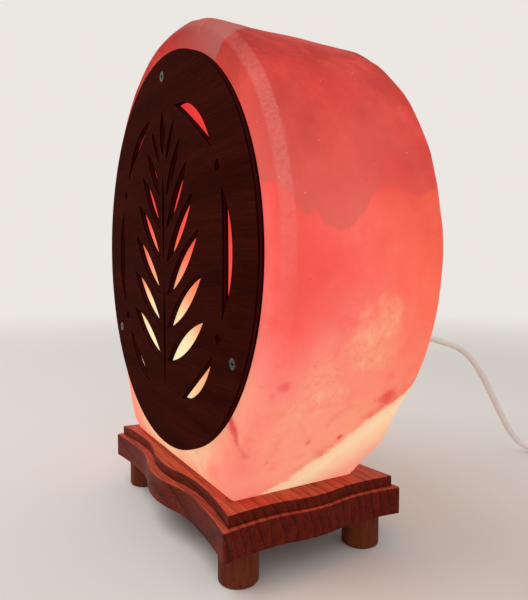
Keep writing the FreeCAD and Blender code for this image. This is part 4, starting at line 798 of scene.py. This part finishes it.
def makeSalt():
    block = nodes["salt_crystal"].copy()
    block.data = nodes["salt_crystal"].data.copy()
    block.name = "saltBlock"
    block.parent = None
    for mark in list(block.keys()):     # those of the CAD node
        del block[mark]
    scene.collection.objects.link(block)
    makeActive(block)
    bpy.ops.object.mode_set(mode="EDIT")
    bpy.ops.mesh.select_all(action="SELECT")
    bpy.ops.mesh.remove_doubles(threshold=0.00001)
    bpy.ops.object.mode_set(mode="OBJECT")
    applyModifier(block, "evenSkin", "REMESH", mode="VOXEL", voxel_size=saltSettings["voxel"])
    free = block.vertex_groups.new(name="free")
    for vertex in block.data.vertices:
        free.add([vertex.index], freeShare(vertex.co), "REPLACE")
    applyModifier(block, "wear", "SMOOTH", factor=0.5, iterations=6, vertex_group="free")
    for name in ("lumps", "dents"):
        size, depth = saltSettings[name]
        texture = bpy.data.textures.new("salt" + name.title(), "CLOUDS")
        texture.noise_scale = size
        texture.noise_depth = 2
        applyModifier(block, name, "DISPLACE", texture=texture, strength=depth, mid_level=0.6,
                      vertex_group="free")
    bpy.ops.object.shade_smooth()
    block.data.materials.clear()
    block.data.materials.append(finishes["salt"])
    return block


saltBlock = makeSalt()
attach(saltBlock, "lamp")
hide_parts("salt_crystal")
print("salt block carved:", len(saltBlock.data.polygons), "faces")

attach(mainsCord, "lamp")
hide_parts("cord_lead", "cord_link", "cord_coil", "cord_tail")


# floor and light

stageSettings = {
    "floorSize": 12.0,
    "floor": "#e9e3dd",
    "backdrop": "#ece7e2",
    "fadeFrom": 0.45,       # metres from the lamp to where the floor starts to melt into the backdrop
    "fadeTo": 1.5,
    "worldStrength": 0.5,
    "lamps": [              # name, place, size and energy
        ("keyLight", (-0.3, -0.8, 1.5), 1.2, 12.0), ("fillLight", (1.2, -0.3, 1.1), 1.4, 4.0),
    ],
    "aim": (0.0, 0.0, 0.13),    # the lamps point here
}


def backdropShown(add):
    # 1 for the rays that show the backdrop as it is: straight, mirrored or through glass
    rays = add("LightPath", {}).node.outputs
    shown = add("Math", {0: rays["Is Camera Ray"], 1: rays["Is Glossy Ray"]}, operation="MAXIMUM")
    return add("Math", {0: shown, 1: rays["Is Transmission Ray"]}, operation="MAXIMUM")


def makeFloor():
    look = stageSettings
    deselectAll()
    bpy.ops.mesh.primitive_plane_add(size=look["floorSize"], location=(0, 0, 0))
    floor = bpy.context.object
    floor.name = "studioFloor"
    material, tree, shader, add = newMaterial("mattPaperSweep")
    setInputs(tree, shader, {"Base Color": srgb(look["floor"]), "Roughness": 0.85})
    away = add("VectorMath", {0: add("TexCoord", {}, "Object")}, "Value", operation="LENGTH")
    fade = add("MapRange", {"Value": away, "From Min": look["fadeFrom"], "From Max": look["fadeTo"]},
               interpolation_type="SMOOTHSTEP")
    fade = add("Math", {0: fade, 1: backdropShown(add)}, operation="MULTIPLY")
    even = add("Emission", {"Color": srgb(look["backdrop"])})
    mixed = add("MixShader", {0: fade, 1: shader.outputs[0], 2: even})
    setInputs(tree, tree.nodes["Material Output"], {"Surface": mixed})
    floor.data.materials.append(material)


def makeLight():
    look = stageSettings
    world = bpy.data.worlds.new("studioWorld")
    scene.world = world
    world.use_nodes = True
    tree = world.node_tree
    add = partial(addNode, tree)
    soft = tree.nodes["Background"]
    setInputs(tree, soft, {"Color": srgb("#ffffff"), "Strength": look["worldStrength"]})
    seen = add("Background", {"Color": srgb(look["backdrop"])})
    mixed = add("MixShader", {0: backdropShown(add), 1: soft.outputs[0], 2: seen})
    setInputs(tree, tree.nodes["World Output"], {"Surface": mixed})
    for name, place, size, energy in look["lamps"]:
        bpy.ops.object.light_add(type="AREA", location=place)
        lamp = bpy.context.object
        lamp.name = name
        lamp.data.size = size
        lamp.data.energy = energy
        turnTowards(lamp, Vector(look["aim"]) - Vector(place))


makeFloor()
makeLight()
scene.view_settings.view_transform = "Standard"
print("stage lit")
